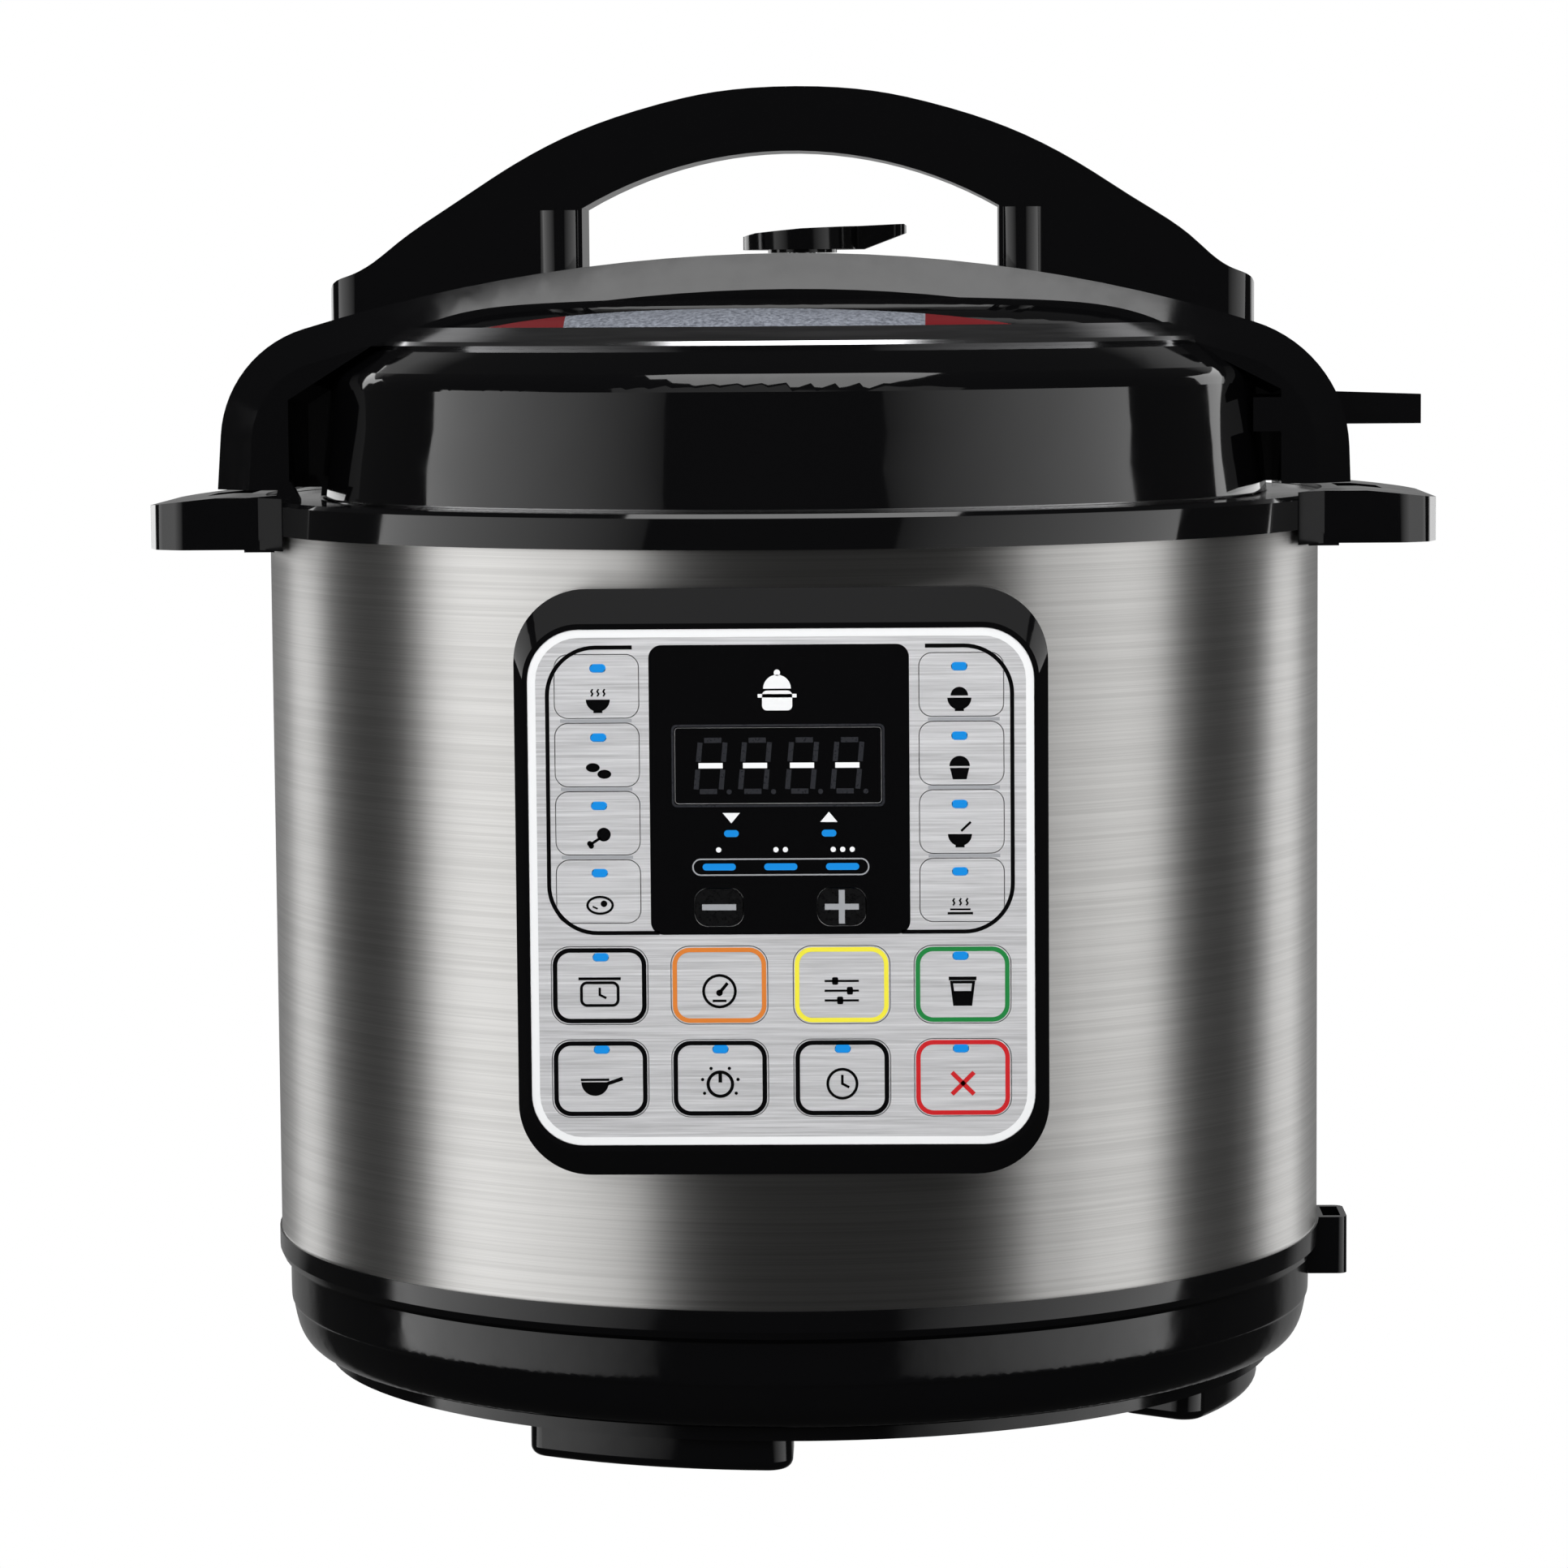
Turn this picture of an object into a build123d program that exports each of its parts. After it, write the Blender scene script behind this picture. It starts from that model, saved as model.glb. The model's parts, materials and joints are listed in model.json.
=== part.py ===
from build123d import *
import math
import os

os.makedirs("parts", exist_ok=True)

# Electric pressure cooker, in millimetres. +Z is up, the control panel faces -Y.
# All shapes are drawn about the cooker's own upright axis. FRAME_Y then moves
# every piece so that the whole object's box is centred on the origin.

# Body
BODY_R = 134.0  # outside radius of the steel sleeve
BODY_TOP = 220.7  # top edge of the steel sleeve
BODY_LOW = 42.0  # bottom edge of the steel sleeve
SHEET = 0.8  # steel sheet of the sleeve
WALL = 2.5  # plastic wall
SNUG = 0.3  # gap between pieces that move past each other
FOOT_H = 9.5  # foot height, floor to the base's underside
FOOT_SPAN = 34.0  # degrees of rim each foot follows
FOOT_TURN = -16.5  # azimuth of the first foot, from the front towards +X
RING_R = BODY_R + 0.5  # base ring
COLLAR_R = BODY_R + 1.0  # upper collar
COLLAR_H = 8.3
COLLAR_TOP = BODY_TOP + COLLAR_H
BOWL_R = BODY_R - 2.2  # bowl under the base ring
BOWL_TOP = BODY_LOW - 8.0
LIP_R = BODY_R - 12.0  # standing lip of the bowl

# Pots and heater
POT_R = BODY_R - 27.0  # inside of the outer pot
POT_WALL = 1.2
POT_FLOOR = BODY_LOW + 4.2  # inside floor of the outer pot
RIM_Z = BODY_TOP + 14.3  # top of the outer pot's flange
LUG_COUNT = 6
LUG_ARC = 26.0  # degrees of each locking lug
LUG_R = POT_R + 8.2
INNER_R = POT_R - 1.6  # outside of the inner pot
PLATE_TOP = BODY_LOW + 14.0  # top of the heating plate
WELL_R = 16.0  # sensor well
SENSOR_R = 13.0
SENSOR_STROKE = 3.0
TERMINALS = (150, 210)  # azimuths of the heater's two terminals

# Lid
LID_R = BODY_R - 13.0  # skirt of the lid cover at its lower edge
LID_LOW = BODY_TOP + 8.8
LID_WALL = 2.2
LID_Z = BODY_TOP  # all heights of the lid are counted from here
BRIDGE_HALF = 35.0  # half width of the band over the lid
BAND_TOP = LID_Z + 69.3  # crest of the band
BAND_R = (425.0, 385.0)  # radius of its long curve, left and right of the crest
BAND_BEND = (30.0, 34.0)  # radius where it turns down into the wings
REACH_L = BODY_R + 10.9  # left wing
REACH_R = BODY_R + 6.6  # right wing
HANDLE_HALF = 14.0  # half depth of the carry handle
HANDLE_END = BODY_R - 16.4
HANDLE_TOP = LID_Z + 111.3
KNOB_X = 2.0
KNOB_Y = 31.0
PIPE_R = 4.0
FLOAT_X = -30.0
FLOAT_Y = 24.0
FLOAT_R = 3.0
RUN = 0.05  # radial play of a turning or sliding fit

# Side handles
GRIP_OUT = BODY_R + 27.8
GRIP_HALF = 40.0
GRIP_LOW = BODY_TOP - 3.7
GRIP_TOP = BODY_TOP + 9.3

# Control panel
PANEL_Z = 0.5 * (BODY_LOW + BODY_TOP) + 11.05  # centre of the printed overlay
PANEL_Y = -(BODY_R + 3.0)  # face of the overlay
OVERLAY_W = 117.4
OVERLAY_H = 120.6
OVERLAY_T = 0.4
BEZEL_W = 124.0
BEZEL_UP = 69.6  # bezel's upper edge above the overlay's centre
BEZEL_DOWN = 67.7
BEZEL_BEND = 17.0  # corner radius of the bezel
FACE_T = 2.4  # wall behind the overlay
TUB_W = 111.0
TUB_UP = 58.0
TUB_DOWN = 56.0
KEY_GAP = 0.2
KEY_STROKE = 0.4
BOARD_Y = PANEL_Y + 10.0  # front of the control board
LAMP_W = 3.4
LAMP_H = 1.6

# Rear
CUP_HALF = 30.5
CUP_OUT = BODY_R + 24.0
CUP_WALL = 1.5
INLET_Z = BODY_LOW + 21.0

FRONT_Y = PANEL_Y - 0.2
FRAME_Y = -0.5 * (FRONT_Y + CUP_OUT)


def block(x0, x1, y0, y1, z0, z1):
    size = Box(x1 - x0, y1 - y0, z1 - z0)
    return Pos((x0 + x1) / 2, (y0 + y1) / 2, (z0 + z1) / 2) * size


def rod(x, y, z0, z1, r):
    return Pos(x, y, (z0 + z1) / 2) * Cylinder(r, z1 - z0)


def tube(r_out, r_in, z0, z1):
    return rod(0, 0, z0, z1, r_out) - rod(0, 0, z0 - 1, z1 + 1, r_in)


def line(p, q):
    return Line(p, q)


def arc(p, m, q):
    return ThreePointArc(p, m, q)


def lathe(edges, sweep=360.0, start=0.0):
    """Turn a closed outline of (radius, height) about the cooker's axis."""
    face = Plane.XZ * make_face(Curve() + edges)
    return Rot(0, 0, start) * revolve(face, axis=Axis.Z, revolution_arc=sweep)


def poly(points):
    """Straight edges round a closed outline."""
    return [Line(a, b) for a, b in zip(points, points[1:] + points[:1])]


def sector(r0, r1, z0, z1, mid, span):
    """Piece of a ring; mid is the azimuth from the front towards +X."""
    corners = [(r0, z0), (r1, z0), (r1, z1), (r0, z1)]
    return lathe(poly(corners), span, mid - 90.0 - span / 2)


def slab(width, height, radius, y0, y1, x=0.0, z=0.0):
    """Rounded plate in the panel's plane, from y0 (front) back to y1."""
    outline = RectangleRounded(width, height, radius)
    face = Plane.XZ * outline
    return Pos(x, y1, z) * extrude(face, amount=y1 - y0, dir=(0, -1, 0))


def side_profile(edges, y0, y1):
    """Outline in X and Z drawn through from y0 to y1."""
    face = Plane.XZ * make_face(Curve() + edges)
    return Pos(0, y1, 0) * extrude(face, amount=y1 - y0, dir=(0, -1, 0))


def around(count, shape, step):
    return [Rot(0, 0, i * step) * shape for i in range(count)]


def joined(shapes):
    whole = shapes[0]
    for shape in shapes[1:]:
        whole = whole + shape
    return whole


# ---------------------------------------------------------------- base


def tub_opening():
    """Window in the sleeve that the panel's tub passes through."""
    half = TUB_W / 2 + WALL
    low = PANEL_Z - TUB_DOWN - WALL
    high = PANEL_Z + TUB_UP + WALL
    return block(-half, half, -2 * BODY_R, 0, low, high)


def make_outer_sleeve():
    shell = tube(BODY_R, BODY_R - SHEET, BODY_LOW, BODY_TOP)
    inlet = block(-18, 18, 0, 2 * BODY_R, INLET_Z - 13, INLET_Z + 13)
    return shell - tub_opening() - inlet


def make_upper_collar():
    top = COLLAR_TOP
    inner = POT_R + POT_WALL
    gutter = top - 2.5
    corners = [
        (inner, top - 7.0),
        (inner, gutter),
        (LID_R - 1.4, gutter),
        (LID_R + 0.5, top),
        (COLLAR_R - 1.0, top),
        (COLLAR_R, top - 1.0),
        (COLLAR_R, BODY_TOP),
        (BODY_R - SHEET, BODY_TOP),
        (BODY_R - SHEET, BODY_TOP - 6.5),
        (BODY_R - SHEET - 2, BODY_TOP - 6.5),
        (BODY_R - SHEET - 2, top - 7.0),
    ]
    return lathe(poly(corners)) + cup_bracket()


def cup_bracket():
    """Rails at the rear that the condensation cup slides on."""
    half = CUP_HALF + 5.5
    roof = block(-half, half, 0, CUP_OUT, BODY_TOP - 2.1, BODY_TOP + 1.5)
    rails = []
    for side in (-1, 1):
        a = side * half
        b = side * (half - 2.4)
        c = side * (half - 4.6)
        upright = block(min(a, b), max(a, b), 0, CUP_OUT, BODY_TOP - 6.1, BODY_TOP)
        lip = block(min(a, c), max(a, c), 0, CUP_OUT, BODY_TOP - 6.1, BODY_TOP - 4.7)
        rails += [upright, lip]
    whole = joined([roof] + rails)
    behind = rod(0, 0, BODY_TOP - 20, BODY_TOP, BODY_R)
    above = rod(0, 0, BODY_TOP, BODY_TOP + 20, COLLAR_R)
    return whole - behind - above


def make_side_handle(side):
    """Grip at one side; side is -1 for left and 1 for right."""
    out = GRIP_OUT
    bend = 9.0
    flare = GRIP_HALF + 9.0
    plan = [
        (90.0, -flare),
        (BODY_R - 8.0, -flare),
        (BODY_R - 1.0, -GRIP_HALF),
        (out - bend, -GRIP_HALF),
        (out - 2.6, -GRIP_HALF + 4.0),
        (out, -GRIP_HALF + bend + 3.0),
        (out, GRIP_HALF - bend - 3.0),
        (out - 2.6, GRIP_HALF - 4.0),
        (out - bend, GRIP_HALF),
        (BODY_R - 1.0, GRIP_HALF),
        (BODY_R - 8.0, flare),
        (90.0, flare),
    ]
    face = make_face(Curve() + poly(plan))
    solid = Pos(0, 0, GRIP_LOW) * extrude(face, amount=GRIP_TOP - GRIP_LOW)
    solid = fillet(solid.edges().filter_by(Axis.Z).sort_by(Axis.X)[-6:], 5.0)
    crown = side_profile(
        [
            line((80, GRIP_LOW - 5), (out + 5, GRIP_LOW - 5)),
            line((out + 5, GRIP_LOW - 5), (out + 5, GRIP_TOP - 2.8)),
            arc((out + 5, GRIP_TOP - 2.8), (out - 12, GRIP_TOP - 0.6), (80, GRIP_TOP)),
            line((80, GRIP_TOP), (80, GRIP_LOW - 5)),
        ],
        -60,
        60,
    )
    solid = solid & crown
    rest = block(out - 23.0, out - 11.5, -7, 14, GRIP_TOP - 9.0, GRIP_TOP + 5)
    solid = solid - rod(0, 0, GRIP_LOW - 5, GRIP_TOP + 5, COLLAR_R) - rest
    solid = solid - cover_block(1)
    if side < 0:
        return mirror(solid, about=Plane.YZ) + stop_tab()
    return solid


def stop_tab():
    """Fin on the left handle's root that the lid's left wing turns against."""
    x = -(BODY_R - 11.4)
    corners = [
        (x - 13.4, COLLAR_TOP - 3.0),
        (x, COLLAR_TOP - 3.0),
        (x, COLLAR_TOP + 0.6),
        (x - 2.2, COLLAR_TOP + 5.0),
        (x - 4.9, COLLAR_TOP + 5.0),
        (x - 5.8, COLLAR_TOP + 1.6),
        (x - 13.4, COLLAR_TOP + 1.0),
    ]
    fin = side_profile(poly(corners), -BRIDGE_HALF - 4.4, -BRIDGE_HALF - 0.8)
    return fin - rod(0, 0, COLLAR_TOP - 20, COLLAR_TOP, COLLAR_R)


def cover_block(side):
    """Cap under a grip's root, flush with its front and rear faces."""
    a = side * (BODY_R - 5.0)
    b = side * (BODY_R + 2.6)
    deep = GRIP_HALF + 0.4
    return block(min(a, b), max(a, b), -deep, deep, GRIP_LOW - 0.6, GRIP_LOW + 2.4)


def make_handle_covers():
    hole = rod(0, 0, 0, BODY_TOP + 9, COLLAR_R)
    return Compound(children=[cover_block(side) - hole for side in (-1, 1)])


def make_base_ring():
    edges = poly(
        [
            (BOWL_R - 3.5, BOWL_TOP),
            (BOWL_R + 0.4, BOWL_TOP),
            (RING_R - 0.8, BOWL_TOP + 1.2),
            (RING_R, BOWL_TOP + 3.0),
            (RING_R, BODY_LOW),
            (BODY_R - SHEET, BODY_LOW),
            (BODY_R - SHEET, BODY_LOW + 5.0),
            (BODY_R - SHEET - 2, BODY_LOW + 5.0),
            (BODY_R - SHEET - 2, BODY_LOW - 2.0),
            (BOWL_R - 3.5, BODY_LOW - 2.0),
        ]
    )
    inlet = block(-18, 18, 0, 2 * BODY_R, BODY_LOW + 0.1, BODY_TOP)
    return lathe(edges) - inlet


def bowl_curve(inset, low):
    """Rounded side of the bowl from its lip at height low up to the ring."""
    rise = BOWL_TOP - low
    start = LIP_R if inset == 0 else LIP_R - 1.6
    deep = BOWL_R - inset
    points = [
        Vector(start, low),
        Vector(deep - 4.9, low + 0.06 * rise + 0.5 * inset),
        Vector(deep - 1.8, low + 0.25 * rise + 0.5 * inset),
        Vector(deep - 0.5, low + 0.51 * rise + 0.5 * inset),
        Vector(deep, BOWL_TOP),
    ]
    return Spline(*points, tangents=[(1, 0.15), (0, 1)])


def make_base_shell():
    floor = FOOT_H
    lip = floor - 1.1
    edges = [
        line((0, floor), (LIP_R - 2.5, floor)),
        line((LIP_R - 2.5, floor), (LIP_R - 2.5, lip)),
        line((LIP_R - 2.5, lip), (LIP_R, lip)),
        line((LIP_R, lip), (LIP_R, lip + 3.2)),
        bowl_curve(0.0, lip + 3.2),
        line((BOWL_R, BOWL_TOP), (BOWL_R - WALL, BOWL_TOP)),
        bowl_curve(WALL, floor + 3.0),
        line((LIP_R - 1.6, floor + 3.0), (0, floor + 3.0)),
        line((0, floor + 3.0), (0, floor)),
    ]
    shell = lathe(edges)
    posts = [
        rod(x, y, floor + 2.0, floor + 10.5, 4.0)
        for x in (-72, -12)
        for y in (-36, 36)
    ]
    return joined([shell] + posts)


def make_feet():
    feet = []
    for turn in range(4):
        foot = sector(
            LIP_R - 27.5, LIP_R - 3.5, 0, FOOT_H, FOOT_TURN + 90.0 * turn, FOOT_SPAN
        )
        foot = fillet(foot.edges().filter_by(Axis.Z), 6.0)
        under = foot.faces().sort_by(Axis.Z)[0]
        foot = fillet(under.edges(), 2.4)
        feet.append(foot)
    return Compound(children=feet)


def make_outer_pot():
    inner = POT_R
    outer = POT_R + POT_WALL
    low = POT_FLOOR - POT_WALL
    well = low - 11.0
    edges = poly(
        [
            (0, well),
            (WELL_R + POT_WALL, well),
            (WELL_R + POT_WALL, low),
            (outer - 3, low),
            (outer, low + 3),
            (outer, RIM_Z - 2.5),
            (POT_R + 5.0, RIM_Z - 2.5),
            (POT_R + 5.0, RIM_Z),
            (inner, RIM_Z),
            (inner, low + 3.5),
            (inner - 2.3, POT_FLOOR),
            (WELL_R, POT_FLOOR),
            (WELL_R, well + POT_WALL),
            (0, well + POT_WALL),
        ]
    )
    step = 360.0 / LUG_COUNT
    lug = sector(POT_R + 4.0, LUG_R, RIM_Z - 2.5, RIM_Z, 90.0, LUG_ARC)
    pot = joined([lathe(edges)] + around(LUG_COUNT, lug, step))
    pot = pot - rod(0, 0, well - 1, POT_FLOOR, 4.6)
    for angle in TERMINALS:
        pot = pot - Rot(0, 0, angle) * rod(78, 0, low - 1, POT_FLOOR + 1, 3.4)
    return pot


def make_heating_plate():
    disc = tube(INNER_R - 10.0, SENSOR_R + 1.2, POT_FLOOR + 1.8, PLATE_TOP)
    disc = fillet(disc.edges().group_by(Axis.Z)[-1].sort_by(SortBy.LENGTH)[-1], 2.0)
    ledge = tube(64, 58, POT_FLOOR, POT_FLOOR + 1.8)
    terminals = [
        Rot(0, 0, a) * rod(78, 0, POT_FLOOR - 9.0, POT_FLOOR + 2.0, 2.6)
        for a in TERMINALS
    ]
    return joined([disc, ledge] + terminals)


def make_sensor_spring():
    low = POT_FLOOR - 11.0 + 0.55
    high = PLATE_TOP - 5.0
    wire = 0.5
    path = Helix((high - low - 2 * wire) / 5.0, high - low - 2 * wire, 9.0)
    start = path @ 0
    ring = Plane(origin=start, z_dir=path % 0) * Circle(wire)
    coil = sweep(ring, path=path)
    return Pos(0, 0, low + wire) * coil


def make_pressure_switch():
    low = POT_FLOOR - POT_WALL
    body = rod(0, 62, low - 13.0, low, 9.0)
    blades = [block(x - 3, x + 3, 61.6, 62.4, low - 20, low - 12) for x in (-5, 5)]
    return joined([body] + blades)


# ------------------------------------------------------- control panel

# Each key: name, centre x, centre z above the overlay's centre, width, height,
# and the lamp's x and z, or None where the key has no lamp.
COLUMN = (47.1, 31.15, 15.25, -0.7)
COLUMN_LAMPS = (51.3, 35.2, 19.3, 3.6)
LEFT_NAMES = ("key_soup", "key_bean", "key_fried", "key_meat")
RIGHT_NAMES = ("key_rice", "key_cake", "key_porridge", "key_steam")
UPPER_NAMES = ("key_slow_cook", "key_pressure", "key_adjust", "key_yogurt")
LOWER_NAMES = ("key_saute", "key_manual", "key_timer", "key_cancel")
ROW_X = (-42.6, -14.7, 13.75, 41.85)
LAMP_X = (-42.3, -14.6, 13.9, 41.4)
WINDOW = (-0.65, 28.5, 47.8, 17.6)  # display window: centre x, z, width, height


def key_table():
    table = []
    for i in range(4):
        lamp_z = COLUMN_LAMPS[i]
        table.append((LEFT_NAMES[i], -42.6, COLUMN[i], 19.4, 14.6, (LAMP_X[0], lamp_z)))
        table.append((RIGHT_NAMES[i], 41.85, COLUMN[i], 19.4, 14.6, (LAMP_X[3], lamp_z)))
    for i in range(4):
        lamp = (LAMP_X[i], -16.1) if i in (0, 3) else None
        table.append((UPPER_NAMES[i], ROW_X[i], -22.75, 22.3, 18.1, lamp))
        table.append((LOWER_NAMES[i], ROW_X[i], -44.6, 22.3, 18.0, (LAMP_X[i], -37.8)))
    table.append(("key_minus", -14.6, -4.5, 11.0, 8.6, None))
    table.append(("key_plus", 13.9, -4.5, 11.0, 8.6, None))
    return table


KEYS = key_table()


def lamps():
    """Centre x, z and width of every lamp window, about the overlay's centre."""
    spots = [(key[5][0], key[5][1], LAMP_W) for key in KEYS if key[5]]
    spots += [(-11.6, 12.7, LAMP_W), (11.05, 12.7, LAMP_W)]
    spots += [(-14.5, 4.9, 7.7), (-0.2, 4.9, 7.7), (14.15, 4.9, 7.7)]
    return spots


def key_hole(key, y0, y1):
    name, x, z, width, height, lamp = key
    wide = width + 2 * KEY_GAP
    high = height + 2 * KEY_GAP
    return slab(wide, high, key_bend(key) + KEY_GAP, y0, y1, x, PANEL_Z + z)


def key_bend(key):
    """Corner radius of a key: the wide function keys are rounder."""
    return 4.2 if key[3] > 20.0 else 3.0


def lamp_bar(spot, y0, y1, grow=0.0):
    x, z, width = spot
    high = LAMP_H + 2 * grow
    return slab(width + 2 * grow, high, high / 2 - 0.01, y0, y1, x, PANEL_Z + z)


def window_bar(y0, y1):
    x, z, width, height = WINDOW
    return slab(width, height, 0.8, y0, y1, x, PANEL_Z + z)


def panel_cuts(y0, y1):
    """Everything that passes through the overlay and the wall behind it."""
    cuts = [key_hole(key, y0, y1) for key in KEYS]
    inside = [spot for spot in lamps()[-5:]]
    cuts += [lamp_bar(spot, y0, y1) for spot in inside]
    cuts.append(window_bar(y0, y1))
    return cuts


def make_control_bezel():
    back = PANEL_Y + 2.4
    mid = PANEL_Z + 0.5 * (BEZEL_UP - BEZEL_DOWN)
    high = BEZEL_UP + BEZEL_DOWN
    foot = slab(BEZEL_W, high, BEZEL_BEND, back, PANEL_Y + 30.0, 0, mid)
    rear = Pos(0, back, mid) * (Plane.XZ * RectangleRounded(BEZEL_W, high, BEZEL_BEND))
    face_w = OVERLAY_W + 2.4
    face_h = OVERLAY_H + 2.6
    face = Plane.XZ * RectangleRounded(face_w, face_h, 13.2)
    front = Pos(0, FRONT_Y, PANEL_Z) * face
    frame = foot + loft([rear, front])
    frame = frame - rod(0, 0, 0, 2 * BODY_TOP, BODY_R)
    tub_h = TUB_UP + TUB_DOWN
    tub_z = PANEL_Z + 0.5 * (TUB_UP - TUB_DOWN)
    tub = slab(TUB_W + 2 * WALL - 0.6, tub_h + 2 * WALL - 0.6, 6.0, back, back + 18, 0, tub_z)
    frame = frame + tub
    wall_back = PANEL_Y + OVERLAY_T + FACE_T
    frame = frame - slab(TUB_W, tub_h, 4.0, wall_back, PANEL_Y + 60, 0, tub_z)
    seat = slab(OVERLAY_W, OVERLAY_H, 12.0, FRONT_Y - 5, PANEL_Y + OVERLAY_T, 0, PANEL_Z)
    low_edge = PANEL_Z - 0.5 * OVERLAY_H
    frame = frame - seat
    frame = frame - block(-5.4, -2.4, FRONT_Y - 1, FRONT_Y + 0.8, low_edge - 0.7, low_edge + 1)
    for cut in panel_cuts(PANEL_Y - 1, wall_back + 1):
        frame = frame - cut
    return frame


def make_panel_overlay():
    sheet = slab(OVERLAY_W, OVERLAY_H, 12.0, PANEL_Y, PANEL_Y + OVERLAY_T, 0, PANEL_Z)
    for cut in panel_cuts(PANEL_Y - 1, PANEL_Y + 1):
        sheet = sheet - cut
    return sheet


def make_display_window():
    return window_bar(PANEL_Y + 0.3, PANEL_Y + OVERLAY_T + FACE_T - 0.4)


def make_display_module():
    x, z, width, height = WINDOW
    front = PANEL_Y + OVERLAY_T + FACE_T + 0.2
    return slab(width + 3, height + 1.6, 0.8, front, BOARD_Y, x, PANEL_Z + z)


def make_key(key):
    name, x, z, width, height, lamp = key
    wall_back = PANEL_Y + OVERLAY_T + FACE_T
    zc = PANEL_Z + z
    cap = slab(width, height, key_bend(key), PANEL_Y, wall_back + 1.0, x, zc)
    flange = slab(
        width + 2.0, height - 1.0, 2.0, wall_back + 0.1, wall_back + 1.0, x, zc
    )
    stem = slab(4.0, 4.0, 1.0, wall_back, switch_front() - KEY_STROKE - 0.1, x, zc - 2.0)
    cap = cap + flange + stem
    if lamp:
        cap = cap - lamp_bar((lamp[0], lamp[1], LAMP_W), PANEL_Y - 1, PANEL_Y + 9, KEY_GAP)
    return cap


def switch_front():
    """Tip of the small switches on the control board."""
    return BOARD_Y - 4.2


def make_key_switches():
    shapes = []
    for name, x, z, width, height, lamp in KEYS:
        zc = PANEL_Z + z - 2.0
        body = block(x - 3, x + 3, BOARD_Y - 3.4, BOARD_Y, zc - 3, zc + 3)
        tip = slab(3.0, 3.0, 1.45, switch_front(), BOARD_Y - 3.4, x, zc)
        shapes.append(body + tip)
    return Compound(children=shapes)


def make_light_pipes():
    shapes = [lamp_bar(spot, PANEL_Y, BOARD_Y) for spot in lamps()]
    return Compound(children=shapes)


def make_control_board():
    tub_z = PANEL_Z + 0.5 * (TUB_UP - TUB_DOWN)
    board = slab(TUB_W, TUB_UP + TUB_DOWN, 4.0, BOARD_Y, BOARD_Y + 1.6, 0, tub_z)
    chip = block(-8, 8, BOARD_Y + 1.6, BOARD_Y + 3.4, tub_z - 8, tub_z + 8)
    plug = block(20, 38, BOARD_Y + 1.6, BOARD_Y + 5.0, tub_z - 40, tub_z - 33)
    return joined([board, chip, plug])


# ------------------------------------------------------------ power side


def make_power_board():
    low = FOOT_H + 10.5
    board = block(-78, -6, -42, 42, low, low + 1.6)
    top = low + 1.6
    relay = block(-72, -52, -30, -15, top, top + 10.0)
    coil = block(-44, -20, -34, -12, top, top + 9.0)
    can = Pos(-60, 14, top + 5.0) * Rot(0, 90, 0) * Cylinder(5.0, 22.0)
    filter_box = block(-36, -18, 10, 26, top, top + 9.0)
    heatsink = block(-70, -30, 30, 33, top, top + 11.0)
    return joined([board, relay, coil, can, filter_box, heatsink])


def make_power_inlet():
    face_y = BODY_R + 3.0
    flange = slab(44, 32, 3.0, BODY_R - 12, face_y, 0, INLET_Z)
    flange = flange - rod(0, 0, 0, BODY_TOP, BODY_R)
    lower = rod(0, 0, BODY_LOW - 20, BODY_LOW, RING_R)
    flange = flange - lower
    barrel = slab(30, 21.4, 2.0, face_y - 22.0, face_y - 1.0, 0, INLET_Z)
    recess = slab(24.6, 16.4, 2.5, face_y - 18.0, face_y + 1.0, 0, INLET_Z)
    inlet = flange + barrel - recess
    for x, z in inlet_spots():
        slot = block(x - 2, x + 2, face_y - 30, face_y, INLET_Z + z - 1, INLET_Z + z + 1)
        inlet = inlet - slot
    return inlet


def inlet_spots():
    return ((-7.0, 1.5), (0.0, 5.5), (7.0, 1.5))


def make_inlet_pins():
    face_y = BODY_R + 3.0
    pins = []
    for x, z in inlet_spots():
        zc = INLET_Z + z
        pins.append(block(x - 2, x + 2, face_y - 26, face_y - 4, zc - 1, zc + 1))
    return Compound(children=pins)


def make_base_screws():
    """Self-tapping screws up through the base shell into the board's posts."""
    screws = []
    for x in (-72, -12):
        for y in (-36, 36):
            head = rod(x, y, FOOT_H - 2.0, FOOT_H, 3.4)
            screws.append(head)
    return Compound(children=screws)


def make_ladle_holder():
    x1 = RING_R + 7.1
    outer = block(BOWL_R - 4, x1, -9, 9, BODY_LOW - 15.0, BODY_LOW - 0.3)
    outer = fillet(outer.edges().filter_by(Axis.Z).sort_by(Axis.X)[2:], 2.5)
    edges = poly(
        [
            (0, 0),
            (BOWL_R, 0),
            (BOWL_R, BOWL_TOP),
            (BOWL_R + 0.4, BOWL_TOP),
            (RING_R - 0.8, BOWL_TOP + 1.2),
            (RING_R, BOWL_TOP + 3.0),
            (RING_R, BODY_TOP),
            (0, BODY_TOP),
        ]
    )
    pocket = block(RING_R + 1.0, x1 - 1.6, -6.6, 6.6, BODY_LOW - 13.0, BODY_LOW + 1)
    return outer - lathe(edges) - pocket


# ------------------------------------------- pieces that come out of the body


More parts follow.
